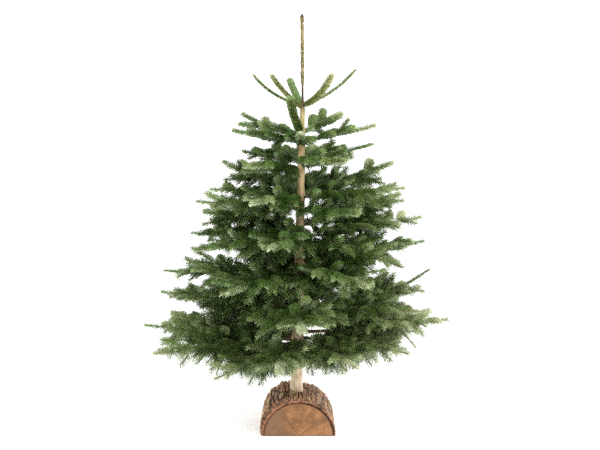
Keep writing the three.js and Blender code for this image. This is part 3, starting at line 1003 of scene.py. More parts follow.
class Growth:
    """Grows every shoot of the tree from the whorls by one rule."""

    def __init__(self, rule: GrowthRule, axis: TrunkAxis) -> None:
        """Keep the rule and the trunk, and grow every bough.

        Args:
            rule: how side shoots leave.
            axis: the trunk's axis.
        """
        self.rule = rule
        self.axis = axis
        self.shoots: list[Shoot] = []
        for level, whorl in enumerate(WHORLS):
            for place in range(len(whorl.boughs)):
                self._grow(self._stem(level, place))

    def _heading(self, azimuth: float, rise: float) -> np.ndarray:
        """Unit direction for an azimuth and a rise in degrees."""
        turn, lift = math.radians(azimuth), math.radians(rise)
        return np.array([math.cos(turn) * math.cos(lift), math.sin(turn) * math.cos(lift), math.sin(lift)])

    def _stem(self, level: int, place: int) -> Shoot:
        """First-order shoot of one bough, bent a little to one side.

        Args:
            level: the whorl, counted from the top.
            place: the bough in it.

        Returns:
            The shoot.
        """
        rule = self.rule
        whorl = WHORLS[level]
        bough = whorl.boughs[place]
        key = level * rule.level_key + place * rule.bough_key + rule.first_key
        bend = rule.axis_bend * signed_chance(key, Draw.BEND)
        return Shoot(
            start=self.axis.at(bough.height), leave=self._heading(bough.azimuth - bend, bough.rise_at_trunk),
            arrive=self._heading(bough.azimuth + bend, bough.rise_at_tip), length=bough.reach,
            years=whorl.years, order=1, key=key, hint=UP, whorl=level, bough=place,
        )

    def _grow(self, shoot: Shoot) -> None:
        """Keep a shoot and grow its side shoots, and theirs in turn.

        Args:
            shoot: the shoot.
        """
        self.shoots.append(shoot)
        if shoot.order >= self.rule.most_order or shoot.years < 2:
            return
        for share, portion, joint in self._joints(shoot):
            for place, roll, part in self._places(shoot, joint):
                side = self._side_shoot(shoot, share, joint, place, roll, portion * part)
                if side is not None:
                    self._grow(side)

    def _joints(self, shoot: Shoot) -> list[tuple[float, float, int]]:
        """Where side shoots leave: each year's joint, with smaller ones between the joints.

        Args:
            shoot: the parent.

        Returns:
            Rows of place along the shoot, share of the full length, and joint number.
        """
        rule = self.rule
        years = shoot.years
        joints = [(0.5 / years, rule.first_step_share, rule.half_step_key)]
        for joint in range(1, years):
            joints.append((joint / years, 1.0, joint))
            joints.append(((joint + 0.5) / years, rule.half_step_share, rule.half_step_key + joint))
            if shoot.order == 1:
                joints.append(((joint + 0.25) / years, rule.quarter_step_share, rule.quarter_step_key + joint))
        innermost = rule.innermost_joint
        outermost = rule.outermost_joint
        if shoot.order == 1:
            whorl = WHORLS[shoot.whorl]
            innermost += whorl.bare * (rule.bare_behind if shoot.leave[1] > 0.0 else 1.0)
            outermost = min(outermost, whorl.boughs[shoot.bough].slim_from)
        wandered = [
            (share + rule.joint_wander * signed_chance(shoot.key, joint, Draw.JOINT), portion, joint)
            for share, portion, joint in joints
        ]
        return [row for row in wandered if innermost <= row[0] <= outermost]

    def _places(self, shoot: Shoot, joint: int) -> list[tuple[int, float, float]]:
        """Side shoots at one joint: a pair, and at times one on top or hanging below.

        Args:
            shoot: the parent.
            joint: the joint's number.

        Returns:
            Rows of number at the joint, roll about the parent in degrees, and share of the length.
        """
        rule = self.rule
        lift = rule.stem_pair_lift if shoot.order == 1 else 0.0
        places = [(0, lift, 1.0), (1, HALF_TURN - lift, 1.0)]
        top = (2, rule.top_roll, rule.top_share)
        if shoot.order == 1:
            on_top = joint % 2 == 1
            if shoot.whorl not in (rule.levels_without_top if on_top else rule.levels_without_hanging):
                places.append(top if on_top else (2, rule.hanging_roll, rule.hanging_share))
        elif shoot.years > 2 and joint < rule.half_step_key:
            on_top = chance(shoot.key, joint, Draw.ON_TOP) < rule.top_chance
            places.append(top if on_top else (2, rule.hanging_roll, rule.top_share))
        return places

    def _side_shoot(
        self, parent: Shoot, share: float, joint: int, place: int, roll: float, portion: float,
    ) -> Shoot | None:
        """Grow one side shoot.

        It leaves at an angle to its parent and arrives curled forwards, upwards and, in front, down.

        Args:
            parent: the shoot that it leaves.
            share: place along the parent.
            joint: the joint's number.
            place: the side shoot's number at the joint.
            roll: roll about the parent in degrees.
            portion: share of the full length.

        Returns:
            The side shoot, or None where it is too short or would end in the trunk.
        """
        rule = self.rule
        order = parent.order + 1
        key = (parent.key * rule.parent_key + joint * rule.joint_key + place) & WORD
        start = parent.at(share)
        tangent = parent.along(share)
        up = upright_on(tangent, parent.hint)
        angle = math.radians(rule.branch_angle[order] + rule.angle_wander * signed_chance(key, Draw.ANGLE))
        turn = math.radians(roll + rule.roll_wander * signed_chance(key, Draw.ROLL))
        sideways = np.cross(tangent, up) * math.cos(turn) + up * math.sin(turn)
        leave = tangent * math.cos(angle) + sideways * math.sin(angle)
        forward = rule.forward_curl[0] + rule.forward_curl[1] * signed_chance(key, Draw.FORWARD)
        upward = rule.upward_curl[0] + rule.upward_curl[1] * signed_chance(key, Draw.UPWARD)
        if parent.whorl >= rule.droop_from_level:
            upward = upward - rule.front_droop * max(0.0, -leave[1])
        arrive = normalised(leave + tangent * forward + UP * upward)
        length = (
            parent.length * (1.0 - share) * rule.length_ratio[order] * portion
            * (1.0 + rule.length_wander * signed_chance(key, Draw.LENGTH))
        )
        if parent.order == 1:
            length = min(length, self._room_beside(parent, share, angle))
        if length < (rule.shortest_behind if start[1] > 0.0 else rule.shortest):
            return None
        side = Shoot(
            start=start, leave=leave, arrive=arrive, length=length,
            years=max(1, round(parent.years * (1.0 - share))), order=order, key=key, hint=up,
            whorl=parent.whorl, bough=parent.bough,
        )
        tip = side.at(1.0)
        from_axis = np.linalg.norm((tip - self.axis.at(tip[2]))[:2])
        return side if from_axis > rule.trunk_room else None

    def _room_beside(self, stem: Shoot, share: float, angle: float) -> float:
        """How far a side shoot can go before it leaves its bough's sector.

        Args:
            stem: the bough's first-order shoot.
            share: place along it.
            angle: between it and the side shoot, in radians.

        Returns:
            The length, from the half width of the sector there and how steeply the side shoot nears its edge.
        """
        rule = self.rule
        whorl = WHORLS[stem.whorl]
        half_gap = whorl.nearest_gap(whorl.boughs[stem.bough].azimuth) / 2.0
        half_sector = min(rule.widest_half_sector, max(rule.narrowest_half_sector, half_gap))
        spread = math.tan(math.radians(half_sector))
        free = share * stem.length * spread + rule.sector_margin
        return free / max(rule.steepest_exit, math.sin(angle) - math.cos(angle) * spread)


@dataclass
class ShootTable:
    """Shoots as whole arrays, one row for each."""

    start: np.ndarray
    leave: np.ndarray
    arrive: np.ndarray
    length: np.ndarray
    years: np.ndarray
    order: np.ndarray
    key: np.ndarray
    hint: np.ndarray
    whorl: np.ndarray
    bough: np.ndarray

    @classmethod
    def of(cls, shoots: Sequence[Shoot]) -> "ShootTable":
        """The table of a list of shoots."""
        return cls(*(np.array([getattr(shoot, column.name) for shoot in shoots]) for column in fields(cls)))

    def rows(self, chosen: np.ndarray) -> "ShootTable":
        """Some of the rows, by mask or by index."""
        return ShootTable(*(getattr(self, column.name)[chosen] for column in fields(self)))

    def _spread(self, vectors: np.ndarray, share: np.ndarray) -> np.ndarray:
        """Each row's vector or number, with axes put in to match the shares along it."""
        return vectors.reshape(len(vectors), *(1,) * (share.ndim - 1), -1)

    def at(self, share: np.ndarray) -> np.ndarray:
        """Points along each curve. The last axis of share runs along the shoot."""
        rows = (self._spread(part, share) for part in (self.start, self.leave, self.arrive, self.length))
        return curve_point(*rows, share[..., None])

    def along(self, share: np.ndarray) -> np.ndarray:
        """Directions along each curve, shaped like the points."""
        leave, arrive = self._spread(self.leave, share), self._spread(self.arrive, share)
        return normalised(leave * (1.0 - share[..., None]) + arrive * share[..., None])


# Sub-assemblies

@dataclass
class Trunk:
    """The whole trunk: root flare, stem with whorl swellings, leader and end buds."""

    axis: TrunkAxis
    around: int = 72
    ring_step: float = 0.003
    bud_heights: Row = (1.444, 1.452, 1.460, 1.466, 1.470)
    bud_radii: Row = (0.0030, 0.0058, 0.0070, 0.0050, 0.0012)
    relief: float = 0.0010
    relief_heights: Row = (0.9, 1.2, 1.43)
    relief_shares: Row = (1.0, 0.4, 0.0)
    broad_share: float = 0.65
    broad_cell: Triple = (0.45, 0.45, 0.060)
    fine_share: float = 0.45
    fine_cell: Triple = (0.16, 0.16, 0.014)
    knot_height: float = 0.0026
    knot_spread: float = 0.011
    knots_below: float = 1.1
    finish: StemBarkFinish = StemBarkFinish()

    def build(self) -> bpy.types.Object:
        """Make the trunk: p = axis(z) + (radius(z) + relief) * (cos a, sin a), with knots where boughs leave.

        Returns:
            The piece.
        """
        foot = self.axis.taper_heights[0]
        heights = np.append(np.arange(foot, self.bud_heights[0], self.ring_step), self.bud_heights)
        radius = self.axis.radius(heights)
        radius[-len(self.bud_heights):] = self.bud_radii
        angle = np.arange(self.around) / self.around * FULL_CIRCLE
        fade = np.interp(heights, self.relief_heights, self.relief_shares)[:, None]
        radii = radius[:, None] + self._relief(heights, angle) * fade + self._knots(heights, angle)
        vertices, faces = tube_surfaces(
            self.axis.at(heights)[None], ALONG_X[None, None], ALONG_Y[None, None], radii[None], self.around,
        )
        piece = make_mesh_piece("trunk", vertices, faces, [self.finish.material()])
        return dress(piece, "trunk_bark", "trunk")

    def _relief(self, heights: np.ndarray, angle: np.ndarray) -> np.ndarray:
        """Low ridges along the stem: broad and fine seamless noise over (cos a, sin a, z).

        Args:
            heights: of the rings.
            angle: of the sides, in radians.

        Returns:
            How far each point stands out.
        """
        grid = np.stack(np.broadcast_arrays(
            np.cos(angle)[None], np.sin(angle)[None], heights[:, None],
        ), axis=-1)
        broad = lattice_noise(grid, self.broad_cell, Pattern.TRUNK_BROAD)
        fine = lattice_noise(grid, self.fine_cell, Pattern.TRUNK_FINE)
        return self.relief * (self.broad_share * broad + self.fine_share * fine)

    def _knots(self, heights: np.ndarray, angle: np.ndarray) -> np.ndarray:
        """Round collars where boughs leave the trunk: height * exp(-(distance / spread)^2).

        Args:
            heights: of the rings.
            angle: of the sides, in radians.

        Returns:
            How far each point stands out.
        """
        lift = np.zeros((len(heights), len(angle)))
        for bough in (bough for whorl in WHORLS for bough in whorl.boughs if bough.height <= self.knots_below):
            turn = (angle - math.radians(bough.azimuth) + math.pi) % FULL_CIRCLE - math.pi
            sideways = turn[None] * self.axis.radius(np.array([bough.height]))[0]
            distance = np.hypot(sideways, heights[:, None] - bough.height)
            lift += self.knot_height * np.exp(-((distance / self.knot_spread) ** 2))
        return lift


@dataclass
class Limbs:
    """Woody stems of every order, joined by kind: the boughs, and the twigs on them."""

    shoots: ShootTable
    axis: TrunkAxis
    bough_rings: int = 26
    bough_sides: int = 12
    ring_crowding: float = 1.2
    bough_tip: float = 0.0015
    bough_taper: float = 0.8
    collar: float = 0.0022
    collar_fade: float = 30.0
    unevenness: float = 0.10
    uneven_cell: Triple = (0.02, 0.02, 0.02)
    twig_rings: tuple[int, ...] = (0, 0, 6, 4)
    twig_sides: tuple[int, ...] = (0, 0, 5, 3)
    twig_root: Row = (0.0, 0.0, 0.0026, 0.0018)
    twig_tip: Row = (0.0, 0.0, 0.0012, 0.0010)
    usual_twig: float = 0.12
    twig_scale: Pair = (0.75, 1.5)
    bough_finish: TwigBarkFinish = TwigBarkFinish("bough_bark", (96, 78, 56), (148, 126, 92), 70.0)
    twig_finish: TwigBarkFinish = TwigBarkFinish("twig_bark", (78, 76, 40), (124, 122, 66), 90.0, 0.7)
    young_finish: TwigBarkFinish = TwigBarkFinish("young_bark", (128, 118, 64), (176, 162, 98), 90.0, 0.7)

    def build(self) -> list[bpy.types.Object]:
        """Make the boughs of the lowest whorl, the upper boughs' stems and all twigs.

        Returns:
            The three pieces.
        """
        first = self.shoots.order == 1
        lower = first & np.array([WHORLS[level].limbs for level in self.shoots.whorl])
        barks = [self.bough_finish.material(), self.young_finish.material()]
        boughs = self._bough_piece("boughs_lower", self.shoots.rows(lower), barks[:1])
        upper = self._bough_piece("boughs_upper", self.shoots.rows(first & ~lower), barks)
        dress(boughs, "bough_bark", *(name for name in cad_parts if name.startswith("bough_")))
        return [boughs, dress(upper, "bough_bark"), dress(self._twig_piece(), "bough_bark")]

    def _bough_piece(
        self, name: str, boughs: ShootTable, barks: Sequence[bpy.types.Material],
    ) -> bpy.types.Object:
        """Tapering limbs: r(t) = lerp(stem, tip, t^taper) + collar * exp(-fade * t), a little uneven.

        Args:
            name: the piece's name.
            boughs: their shoots.
            barks: the old bark, and the young bark where it takes shoots of one year too.

        Returns:
            The piece.
        """
        rows = len(boughs.length)
        share = np.linspace(0.0, 1.0, self.bough_rings) ** self.ring_crowding
        share = np.broadcast_to(share, (rows, self.bough_rings))
        stem = np.array([WHORLS[level].stem for level in boughs.whorl])[:, None]
        radii = (
            stem + (self.bough_tip - stem) * share ** self.bough_taper
            + self.collar * np.exp(-self.collar_fade * share)
        )
        centres = boughs.at(share)
        radii = radii * (1.0 + self.unevenness * lattice_noise(centres, self.uneven_cell, Pattern.BOUGH))
        vertices, faces = tube_surfaces(centres, *tube_frame(boughs.along(share), UP), radii, self.bough_sides)
        young = np.minimum(boughs.years == 1, len(barks) - 1)
        slots = np.concatenate([np.repeat(young, len(block) // rows) for block in faces])
        return make_mesh_piece(name, vertices, faces, barks, slots)

    def _twig_piece(self) -> bpy.types.Object:
        """Thin tapering tubes of the second and third order, thicker where longer, joined into one piece.

        Returns:
            The piece.
        """
        vertices, quads, fans = [], [], []
        for order in (2, 3):
            twigs = self.shoots.rows(self.shoots.order == order)
            rings = self.twig_rings[order]
            share = np.broadcast_to(np.linspace(0.0, 1.0, rings), (len(twigs.length), rings))
            scale = np.clip(twigs.length / self.usual_twig, *self.twig_scale)[:, None]
            radii = (self.twig_root[order] + (self.twig_tip[order] - self.twig_root[order]) * share) * scale
            directions = tube_frame(twigs.along(share), twigs.hint[:, None, :])
            points, faces = tube_surfaces(twigs.at(share), *directions, radii, self.twig_sides[order])
            first = sum(len(block) for block in vertices)
            vertices.append(points)
            quads.append(faces[0] + first)
            fans.append(faces[1] + first)
        faces = [np.concatenate(quads), np.concatenate(fans)]
        return make_mesh_piece("twigs", np.concatenate(vertices), faces, [self.twig_finish.material()])


@dataclass(frozen=True)
class NeedleSize:
    """Size and setting of the needles along shoots. Lengths are in metres, angles in degrees.

    Names that end in top or side are for needles on a shoot's top or side. Names that start with top
    are for the top whorl, where a row has one value for each bough.
    """

    per_metre_young: float = 1950.0
    per_metre_old: float = 1300.0
    youth: float = 1.6
    fewest: int = 12
    length_side: float = 0.0240
    length_top: float = 0.0200
    length_wander: float = 0.07
    base_length: float = 0.75
    base_until: float = 0.12
    width: float = 0.0030
    width_range: Pair = (0.85, 1.15)
    tip_range: Pair = (0.86, 1.0)
    base_share: float = 0.5
    tip_share: float = 0.85
    spread: float = 140.0
    top_spread: float = 176.0
    angle_top: float = 42.0
    angle_side: float = 55.0
    angle_wander: float = 2.5
    lift: float = 0.10
    face_up: float = 0.6
    face_out: float = 0.7
    face_back: float = 0.3
    face_wander: float = 0.06
    underside_from: float = 118.0
    slim_angle: float = 38.0
    slim_share: float = 0.84
    aged_from: int = 4
    aged_bare: float = 0.38
    closing: float = 14.0
    closing_from: float = 0.86
    top_closing: float = 0.5
    closing_length: float = 0.22
    closing_length_from: float = 0.90
    fullness: Row = (1.0, 1.6, 1.25, 1.1, 1.0, 1.0, 1.0, 1.0)
    top_fullness: Row = (2.0, 1.5, 2.0, 1.4, 2.0, 2.0)
    top_angles: Row = (22.0, 42.0, 22.0, 40.0, 46.0, 46.0)
    top_lengths: Row = (0.72, 0.90, 0.70, 0.66, 0.86, 1.0)


@dataclass(frozen=True)
class NeedleTone:
    """What makes needles lighter, counted in steps between the greens, painted light and shade among them. The
    crown's radii go by height.
    """

    base: float = 1.95
    # painted shade: the outness terms darken needles towards the crown's inside, where shade falls
    outness: float = 1.75
    outness_power: float = 1.5
    outness_most: float = 1.05
    crown_heights: Row = (0.25, 0.45, 0.70, 0.95, 1.15, 1.45)
    crown_radii: Row = (0.50, 0.48, 0.42, 0.27, 0.20, 0.05)
    young: float = 0.5
    tip: float = 0.5
    tip_from: float = 0.55
    spray: float = 2.4
    facing: float = 1.2
    facing_between: Pair = (0.80, 0.95)
    head_on_darker: float = 0.4
    head_on_between: Pair = (0.50, 0.85)
    slim_darker: float = 1.1
    # painted light: needles made lighter towards the right of the crown, as if lit from that side
    rightness: float = 0.7
    high: float = 1.5
    high_between: Pair = (0.90, 1.20)
    low: float = 1.4
    low_between: Pair = (-0.60, -0.35)
    wander: float = 0.60
    silvery: float = 0.55
    under: float = -0.2
    under_outness: float = 1.4
    under_spray: float = 1.2
    under_wander: float = 0.4
    top_tip: float = 0.8
    top_tones: Row = (1.5, 4.2, 1.0, 3.2, 2.6, 3.1)
    top_wander: Row = (0.9, 1.0, 0.8, 1.0, 0.6, 0.6)
    top_yellowed: Row = (0.15, 0.40, 0.10, 0.45, 0.0, 0.05)


@dataclass(frozen=True)
class LeaderNeedles:
    """Needles of the leader: most are pressed to it, and those above the rosette's height stand off.

    The angles and the lengths are those in the rosette, then those of the rest.
    """

    count: int = 620
    seed: int = 50
    highest: float = 1.448
    reach: float = 0.225
    crowding: float = 1.2
    rosette: float = 1.436
    angles: Pair = (34.0, 17.0)
    angle_wander: float = 6.0
    sunk: float = 0.0006
    lengths: Pair = (0.012, 0.017)
    length_range: Pair = (0.85, 1.12)
    foot_darker: float = 0.4
    foot_between: Pair = (-1.28, -1.18)
    brown_share: float = 0.50
    dark_share: float = 0.92


@dataclass
class Needles:
    """Needles of the whole crown and of the leader, joined into one or more pieces a whorl."""

    shoots: ShootTable
    axis: TrunkAxis
    size: NeedleSize = NeedleSize()
    tone: NeedleTone = NeedleTone()
    leader: LeaderNeedles = LeaderNeedles()
    finish: NeedleFinish = NeedleFinish()
    most_triangles: int = 190000
    seed: int = 5

    def build(self) -> list[bpy.types.Object]:
        """Make every piece of needles, each whorl's first in place of its masses.

        Returns:
            The pieces, the leader's last.
        """
        materials = self.finish.materials()
        pieces = []
        for level, whorl in enumerate(WHORLS):
            corners, slots = self._on_shoots(level, np.random.default_rng(self.seed + level))
            masses = [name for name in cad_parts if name.startswith(f"needles_{whorl.name}_")]
            parts = math.ceil(2 * len(slots) / self.most_triangles)
            for part, chosen in enumerate(np.array_split(np.arange(len(slots)), parts)):
                name = f"needles_{whorl.name}_{part}" if parts > 1 else f"needles_{whorl.name}"
                piece = self._needle_piece(name, corners[chosen], slots[chosen], materials)
                pieces.append(dress(piece, "needles", *(masses if part == 0 else ())))
        return pieces + [dress(self._leader(materials), "needles")]

    def _needle_piece(
        self, name: str, corners: np.ndarray, slots: np.ndarray, materials: Sequence[bpy.types.Material],
    ) -> bpy.types.Object:
        """Join flat needles of four corners each."""
        faces = np.arange(4 * len(corners)).reshape(-1, 4)
        return make_mesh_piece(name, corners.reshape(-1, 3), [faces], materials, slots, smooth=False)

    def _corners(
        self, base: np.ndarray, direction: np.ndarray, normal: np.ndarray, length: np.ndarray,
        width: np.ndarray, rng: np.random.Generator,
    ) -> np.ndarray:
        """Corners of each needle: a flat strip, narrow at its base, with a slanting blunt tip.

        Args:
            base: where each needle leaves its shoot.
            direction: unit vectors along the needles.
            normal: unit vectors square on them, out of the upper face.
            length: needle lengths.
            width: needle widths.
            rng: seeded random numbers.

        Returns:
            Needle by corner by 3, turning with the normal.
        """
        half = np.cross(direction, normal) * width[:, None] / 2.0
        left, right = (
            direction * (length * rng.uniform(*self.size.tip_range, len(base)))[:, None] for _ in range(2)
        )
        return np.stack([
            base + half * self.size.base_share,
            base + right + half * self.size.tip_share,
            base + left - half * self.size.tip_share,
            base - half * self.size.base_share,
        ], axis=1)

    def _bare_share(self, shoots: ShootTable, whorl: Whorl) -> np.ndarray:
        """Where needles begin: past the bare foot of a bough, and past that of an aged side shoot.

        Args:
            shoots: the whorl's shoots.
            whorl: the whorl.

        Returns:
            A share of the length for each shoot.
        """
        size = self.size
        kept = np.where(shoots.leave[:, 1] > 0.0, GrowthRule.bare_behind, 1.0)
        aged = (shoots.order == 2) & (shoots.years >= size.aged_from) & (whorl.years >= size.aged_from)
        return np.where(shoots.order == 1, whorl.bare * kept, np.where(aged, size.aged_bare, 0.0))

    def _on_shoots(self, level: int, rng: np.random.Generator) -> tuple[np.ndarray, np.ndarray]:
        """Needles in a flattened brush round each shoot of a whorl.

        Needle n leaves at (n + chance) / count of the shoot, on a golden-angle spiral about it: its roll
        phi is spread * (2 * frac(n * golden share) - 1). It leans out by an angle that grows from the
        top of the shoot to its sides, and closes and shortens towards the shoot's end.

        Args:
            level: the whorl, counted from the top.
            rng: seeded random numbers.

        Returns:
            Corners of all needles, and a slot for each.
        """
        size = self.size
        whorl = WHORLS[level]
        top = level == 0
        shoots = self.shoots.rows(self.shoots.whorl == level)
        youth = np.clip(1.0 / shoots.years * size.youth, 0, 1)
        density = size.per_metre_old + (size.per_metre_young - size.per_metre_old) * youth
        density = density * (np.array(size.top_fullness)[shoots.bough] if top else size.fullness[level])
        from_share = self._bare_share(shoots, whorl)
        counts = np.maximum(size.fewest, (shoots.length * (1.0 - from_share) * density)).astype(int)
        row = np.repeat(np.arange(len(counts)), counts)
        place = np.arange(len(row)) - np.repeat(np.cumsum(counts) - counts, counts)
        ladder = (place + rng.random(len(row))) / counts[row]
        share = from_share[row] + (1.0 - from_share[row]) * ladder
        owner = shoots.rows(row)
        point = owner.at(share[:, None])[:, 0]
        tangent = owner.along(share[:, None])[:, 0]
        up = upright_on(tangent, owner.hint)
        turn = ((place * GOLDEN_SHARE + chance(level + 1)) % 1.0) * 2.0 - 1.0
        spread = size.top_spread if top else size.spread
        phi = np.radians(turn * spread + rng.normal(0.0, size.angle_wander, len(row)))
        side_share = np.clip(np.abs(phi) / (math.pi / 2.0), 0.0, 1.0)
        angle = size.angle_top + (size.angle_side - size.angle_top) * side_share
        angle = np.array(size.top_angles)[owner.bough] if top else angle
        slim_from = np.array([bough.slim_from for bough in whorl.boughs])[owner.bough]
        slim = (owner.order == 1) & (share > slim_from)
        angle = np.where(slim, size.slim_angle, angle)
        closing = ease(ladder, size.closing_from, 1.0) * size.closing * (size.top_closing if top else 1.0)
        angle = np.radians(angle - closing + rng.normal(0.0, size.angle_wander, len(row)))
        outward = np.cross(tangent, up) * np.sin(phi)[:, None] + up * np.cos(phi)[:, None]
        direction = tangent * np.cos(angle)[:, None] + outward * np.sin(angle)[:, None]
        direction = normalised(direction + UP * (0.0 if top else size.lift))
        faced = size.face_up * up + size.face_out * outward - size.face_back * tangent
        normal = upright_on(direction, normalised(faced + rng.normal(0.0, size.face_wander, direction.shape)))
        length = size.length_top + (size.length_side - size.length_top) * side_share
        length = length * (1.0 + size.length_wander * rng.uniform(-1.0, 1.0, len(row)))
        length = length * (np.array(size.top_lengths)[owner.bough] if top else 1.0)
        length = length * np.where(slim, size.slim_share, 1.0)
        shortening = (0.0 if top else size.closing_length) * ease(ladder, size.closing_length_from, 1.0)
        growing = (1.0 - size.base_length) * ease(ladder, 0.0, size.base_until)
        length = length * (1.0 - shortening) * (size.base_length + growing)
        width = size.width * rng.uniform(*size.width_range, len(row))
        corners = self._corners(point, direction, normal, length, width, rng)
        hanging = (np.abs(phi) > math.radians(size.underside_from)) & (not top)
        return corners, self._slots(owner, share, point, hanging, slim, rng)

    def _slots(
        self, owner: ShootTable, share: np.ndarray, point: np.ndarray, hanging: np.ndarray,
        slim: np.ndarray, rng: np.random.Generator,
    ) -> np.ndarray:
        """Slot of each needle: light at the ends of young outer shoots, and dark in the crown's inside as
        painted shade.

        The tone is a sum of the weights of NeedleTone, each times how far its reason holds. Outness is
        the distance from the trunk as a share of the crown's radius at that height.

        Args:
            owner: the needles' shoots, one row for each needle.
            share: place of each needle along its shoot.
            point: where each needle leaves its shoot.
            hanging: whether a needle hangs below its shoot and so shows its underside.
            slim: whether a needle is on a bough's bare end.
            rng: seeded random numbers.

        Returns:
            One slot for each needle.
        """
        rule = self.tone
        count = len(share)
        x, z = point[:, 0], point[:, 2]
        outer = np.linalg.norm((point - self.axis.at(z))[:, :2], axis=1)
        widest = np.interp(z, rule.crown_heights, rule.crown_radii)
        outness = np.clip(outer / widest, 0.0, rule.outness_most)
        spray = hashed_cells(owner.key[:, None], Pattern.SPRAY) - 0.5
        young = np.where(owner.years == 1, 1.0, 0.0)
        tip = ease(share, rule.tip_from, 1.0)
        facing = tip * (owner.order == 1) * ease(-owner.arrive[:, 1], *rule.facing_between)
        head_on = tip * (owner.order > 1) * ease(-owner.arrive[:, 1], *rule.head_on_between)
        tone = (
            # painted shade: needles darker towards the crown's inside, by outness
            rule.base + rule.outness * outness ** rule.outness_power + rule.young * young * outness
            + rule.tip * tip * outness + rule.spray * spray - rule.head_on_darker * head_on
            # painted light: the rightness term lightens needles on the crown's right, as if lit from that side
            - rule.slim_darker * slim + rule.rightness * x / widest + rule.high * ease(z, *rule.high_between)
            + rule.low * ease(-z, *rule.low_between) + rule.facing * facing
            + rng.normal(0.0, rule.wander, count)
        )
        top = owner.whorl == 0
        place = np.minimum(owner.bough, len(rule.top_tones) - 1)
        wander = np.array(rule.top_wander)[place] * rng.normal(0.0, 1.0, count)
        tone = np.where(top, np.array(rule.top_tones)[place] + rule.top_tip * tip + wander, tone)
        upper = np.clip(np.round(tone), Slot.UPPER, Slot.UNDER - 1).astype(int)
        yellowed = top & (rng.random(count) < np.array(rule.top_yellowed)[place])
        upper = np.where(yellowed, Slot.YELLOWED, upper)
        # painted shade: undersides darker towards the crown's inside, paler towards the outside
        pale = rule.under + rule.under_outness * outness + rule.under_spray * spray
        pale = pale + rng.normal(0.0, rule.under_wander, count)
        under = np.clip(np.round(pale), 0, Slot.SILVERY - Slot.UNDER).astype(int) + Slot.UNDER
        silvery = rng.random(count) < rule.silvery * facing
        return np.where(hanging, under, np.where(silvery, Slot.SILVERY, upper))

    def _leader(self, materials: Sequence[bpy.types.Material]) -> bpy.types.Object:
        """Short needles pressed to the leader on all sides, and a rosette round the end buds.

        They stand at highest - reach * chance^crowding, on a golden-angle spiral.

        Args:
            materials: one for each slot.

        Returns:
            The piece.
        """
        rule = self.leader
        rng = np.random.default_rng(self.seed + rule.seed)
        height = rule.highest - rule.reach * np.sort(rng.random(rule.count)) ** rule.crowding
        rosette = height > rule.rosette
        turn = np.arange(rule.count) * GOLDEN_SHARE * FULL_CIRCLE
        outward = np.stack([np.cos(turn), np.sin(turn), np.zeros(rule.count)], axis=1)
        axis = normalised(np.array(self.axis.tip) - np.array(self.axis.leader_foot))
        angle = np.radians(np.where(rosette, *rule.angles) + rng.normal(0.0, rule.angle_wander, rule.count))
        direction = normalised(axis * np.cos(angle)[:, None] + outward * np.sin(angle)[:, None])
        base = self.axis.at(height) + outward * (self.axis.radius(height) - rule.sunk)[:, None]
        length = np.where(rosette, *rule.lengths) * rng.uniform(*rule.length_range, rule.count)
        normal = upright_on(direction, outward)
        width = np.full(rule.count, self.size.width)
        corners = self._corners(base, direction, normal, length, width, rng)
        tone = rng.random(rule.count) + rule.foot_darker * ease(-height, *rule.foot_between)
        dark = np.where(tone < rule.dark_share, Slot.LEADER_DARK, Slot.UPPER_DARK)
        slots = np.where(tone < rule.brown_share, Slot.LEADER, dark)
        return self._needle_piece("needles_leader", corners, slots, materials)


@dataclass
class Buds:
    """Small brown buds at the ends of the outer shoots."""

    shoots: ShootTable
    radius: float = 0.0022
    length: float = 0.0062
    sunk: float = 0.3
    sides: int = 6
    top_size: float = 1.8
    rings: Row = (0.0, 0.25, 0.5, 0.75, 1.0)
    profile: Row = (0.55, 0.95, 1.0, 0.72, 0.2)
    finish: PlainFinish = PlainFinish("bud_scales", (126, 108, 66), 0.5)

    def build(self) -> bpy.types.Object:
        """Make one egg-shaped bud on every end: a short tube whose radius follows the profile.

        Returns:
            The piece.
        """
        end = np.ones((len(self.shoots.length), 1))
        direction = self.shoots.along(end)
        size = np.where(self.shoots.whorl == 0, self.top_size, 1.0)[:, None]
        onward = (np.array(self.rings) - self.sunk)[None] * self.length * size
        centres = self.shoots.at(end) + direction * onward[:, :, None]
        directions = tube_frame(direction, self.shoots.hint[:, None])
        radii = (self.radius * np.array(self.profile))[None] * size
        vertices, faces = tube_surfaces(centres, *directions, radii, self.sides)
        return dress(make_mesh_piece("shoot_buds", vertices, faces, [self.finish.material()]), "bough_bark")


@dataclass(frozen=True)
class BarkRelief:
    """Plates of the log's bark. Plate sizes and cells are across the log and along it, shares go to 1."""

    columns: int = 300
    rows: int = 155
    bend: float = 0.004
    bend_cell: Pair = (0.026, 0.050)
    plate: Pair = (0.0165, 0.170)
    plate_shoulder: float = 0.30
    small_plate: Pair = (0.015, 0.060)
    small_shoulder: float = 0.24
    furrow_depth: float = 0.0085
    plate_depth: float = 0.0050
    small_furrow_depth: float = 0.0018
    small_plate_depth: float = 0.0020
    mean_depth: float = 0.0055
    stand_range: Pair = (0.22, 1.12)
    rim_depth: float = 0.0015
    rim_from: float = 0.97
    ragged: float = 0.0030
    ragged_from: float = 0.90
    ragged_cell: Pair = (0.010, 0.2)
    furrow_width: float = 0.13
    small_furrow_width: float = 0.05
    tint_turns: Pair = (7.0, 0.45)
    tint_shares: Triple = (0.34, 0.62, 0.84)
    # painted light and shade: grey plates turn pale left of one place, pale plates turn grey right of the
    # other
    painted_light_left_of: float = 0.3
    painted_shade_right_of: float = 0.45


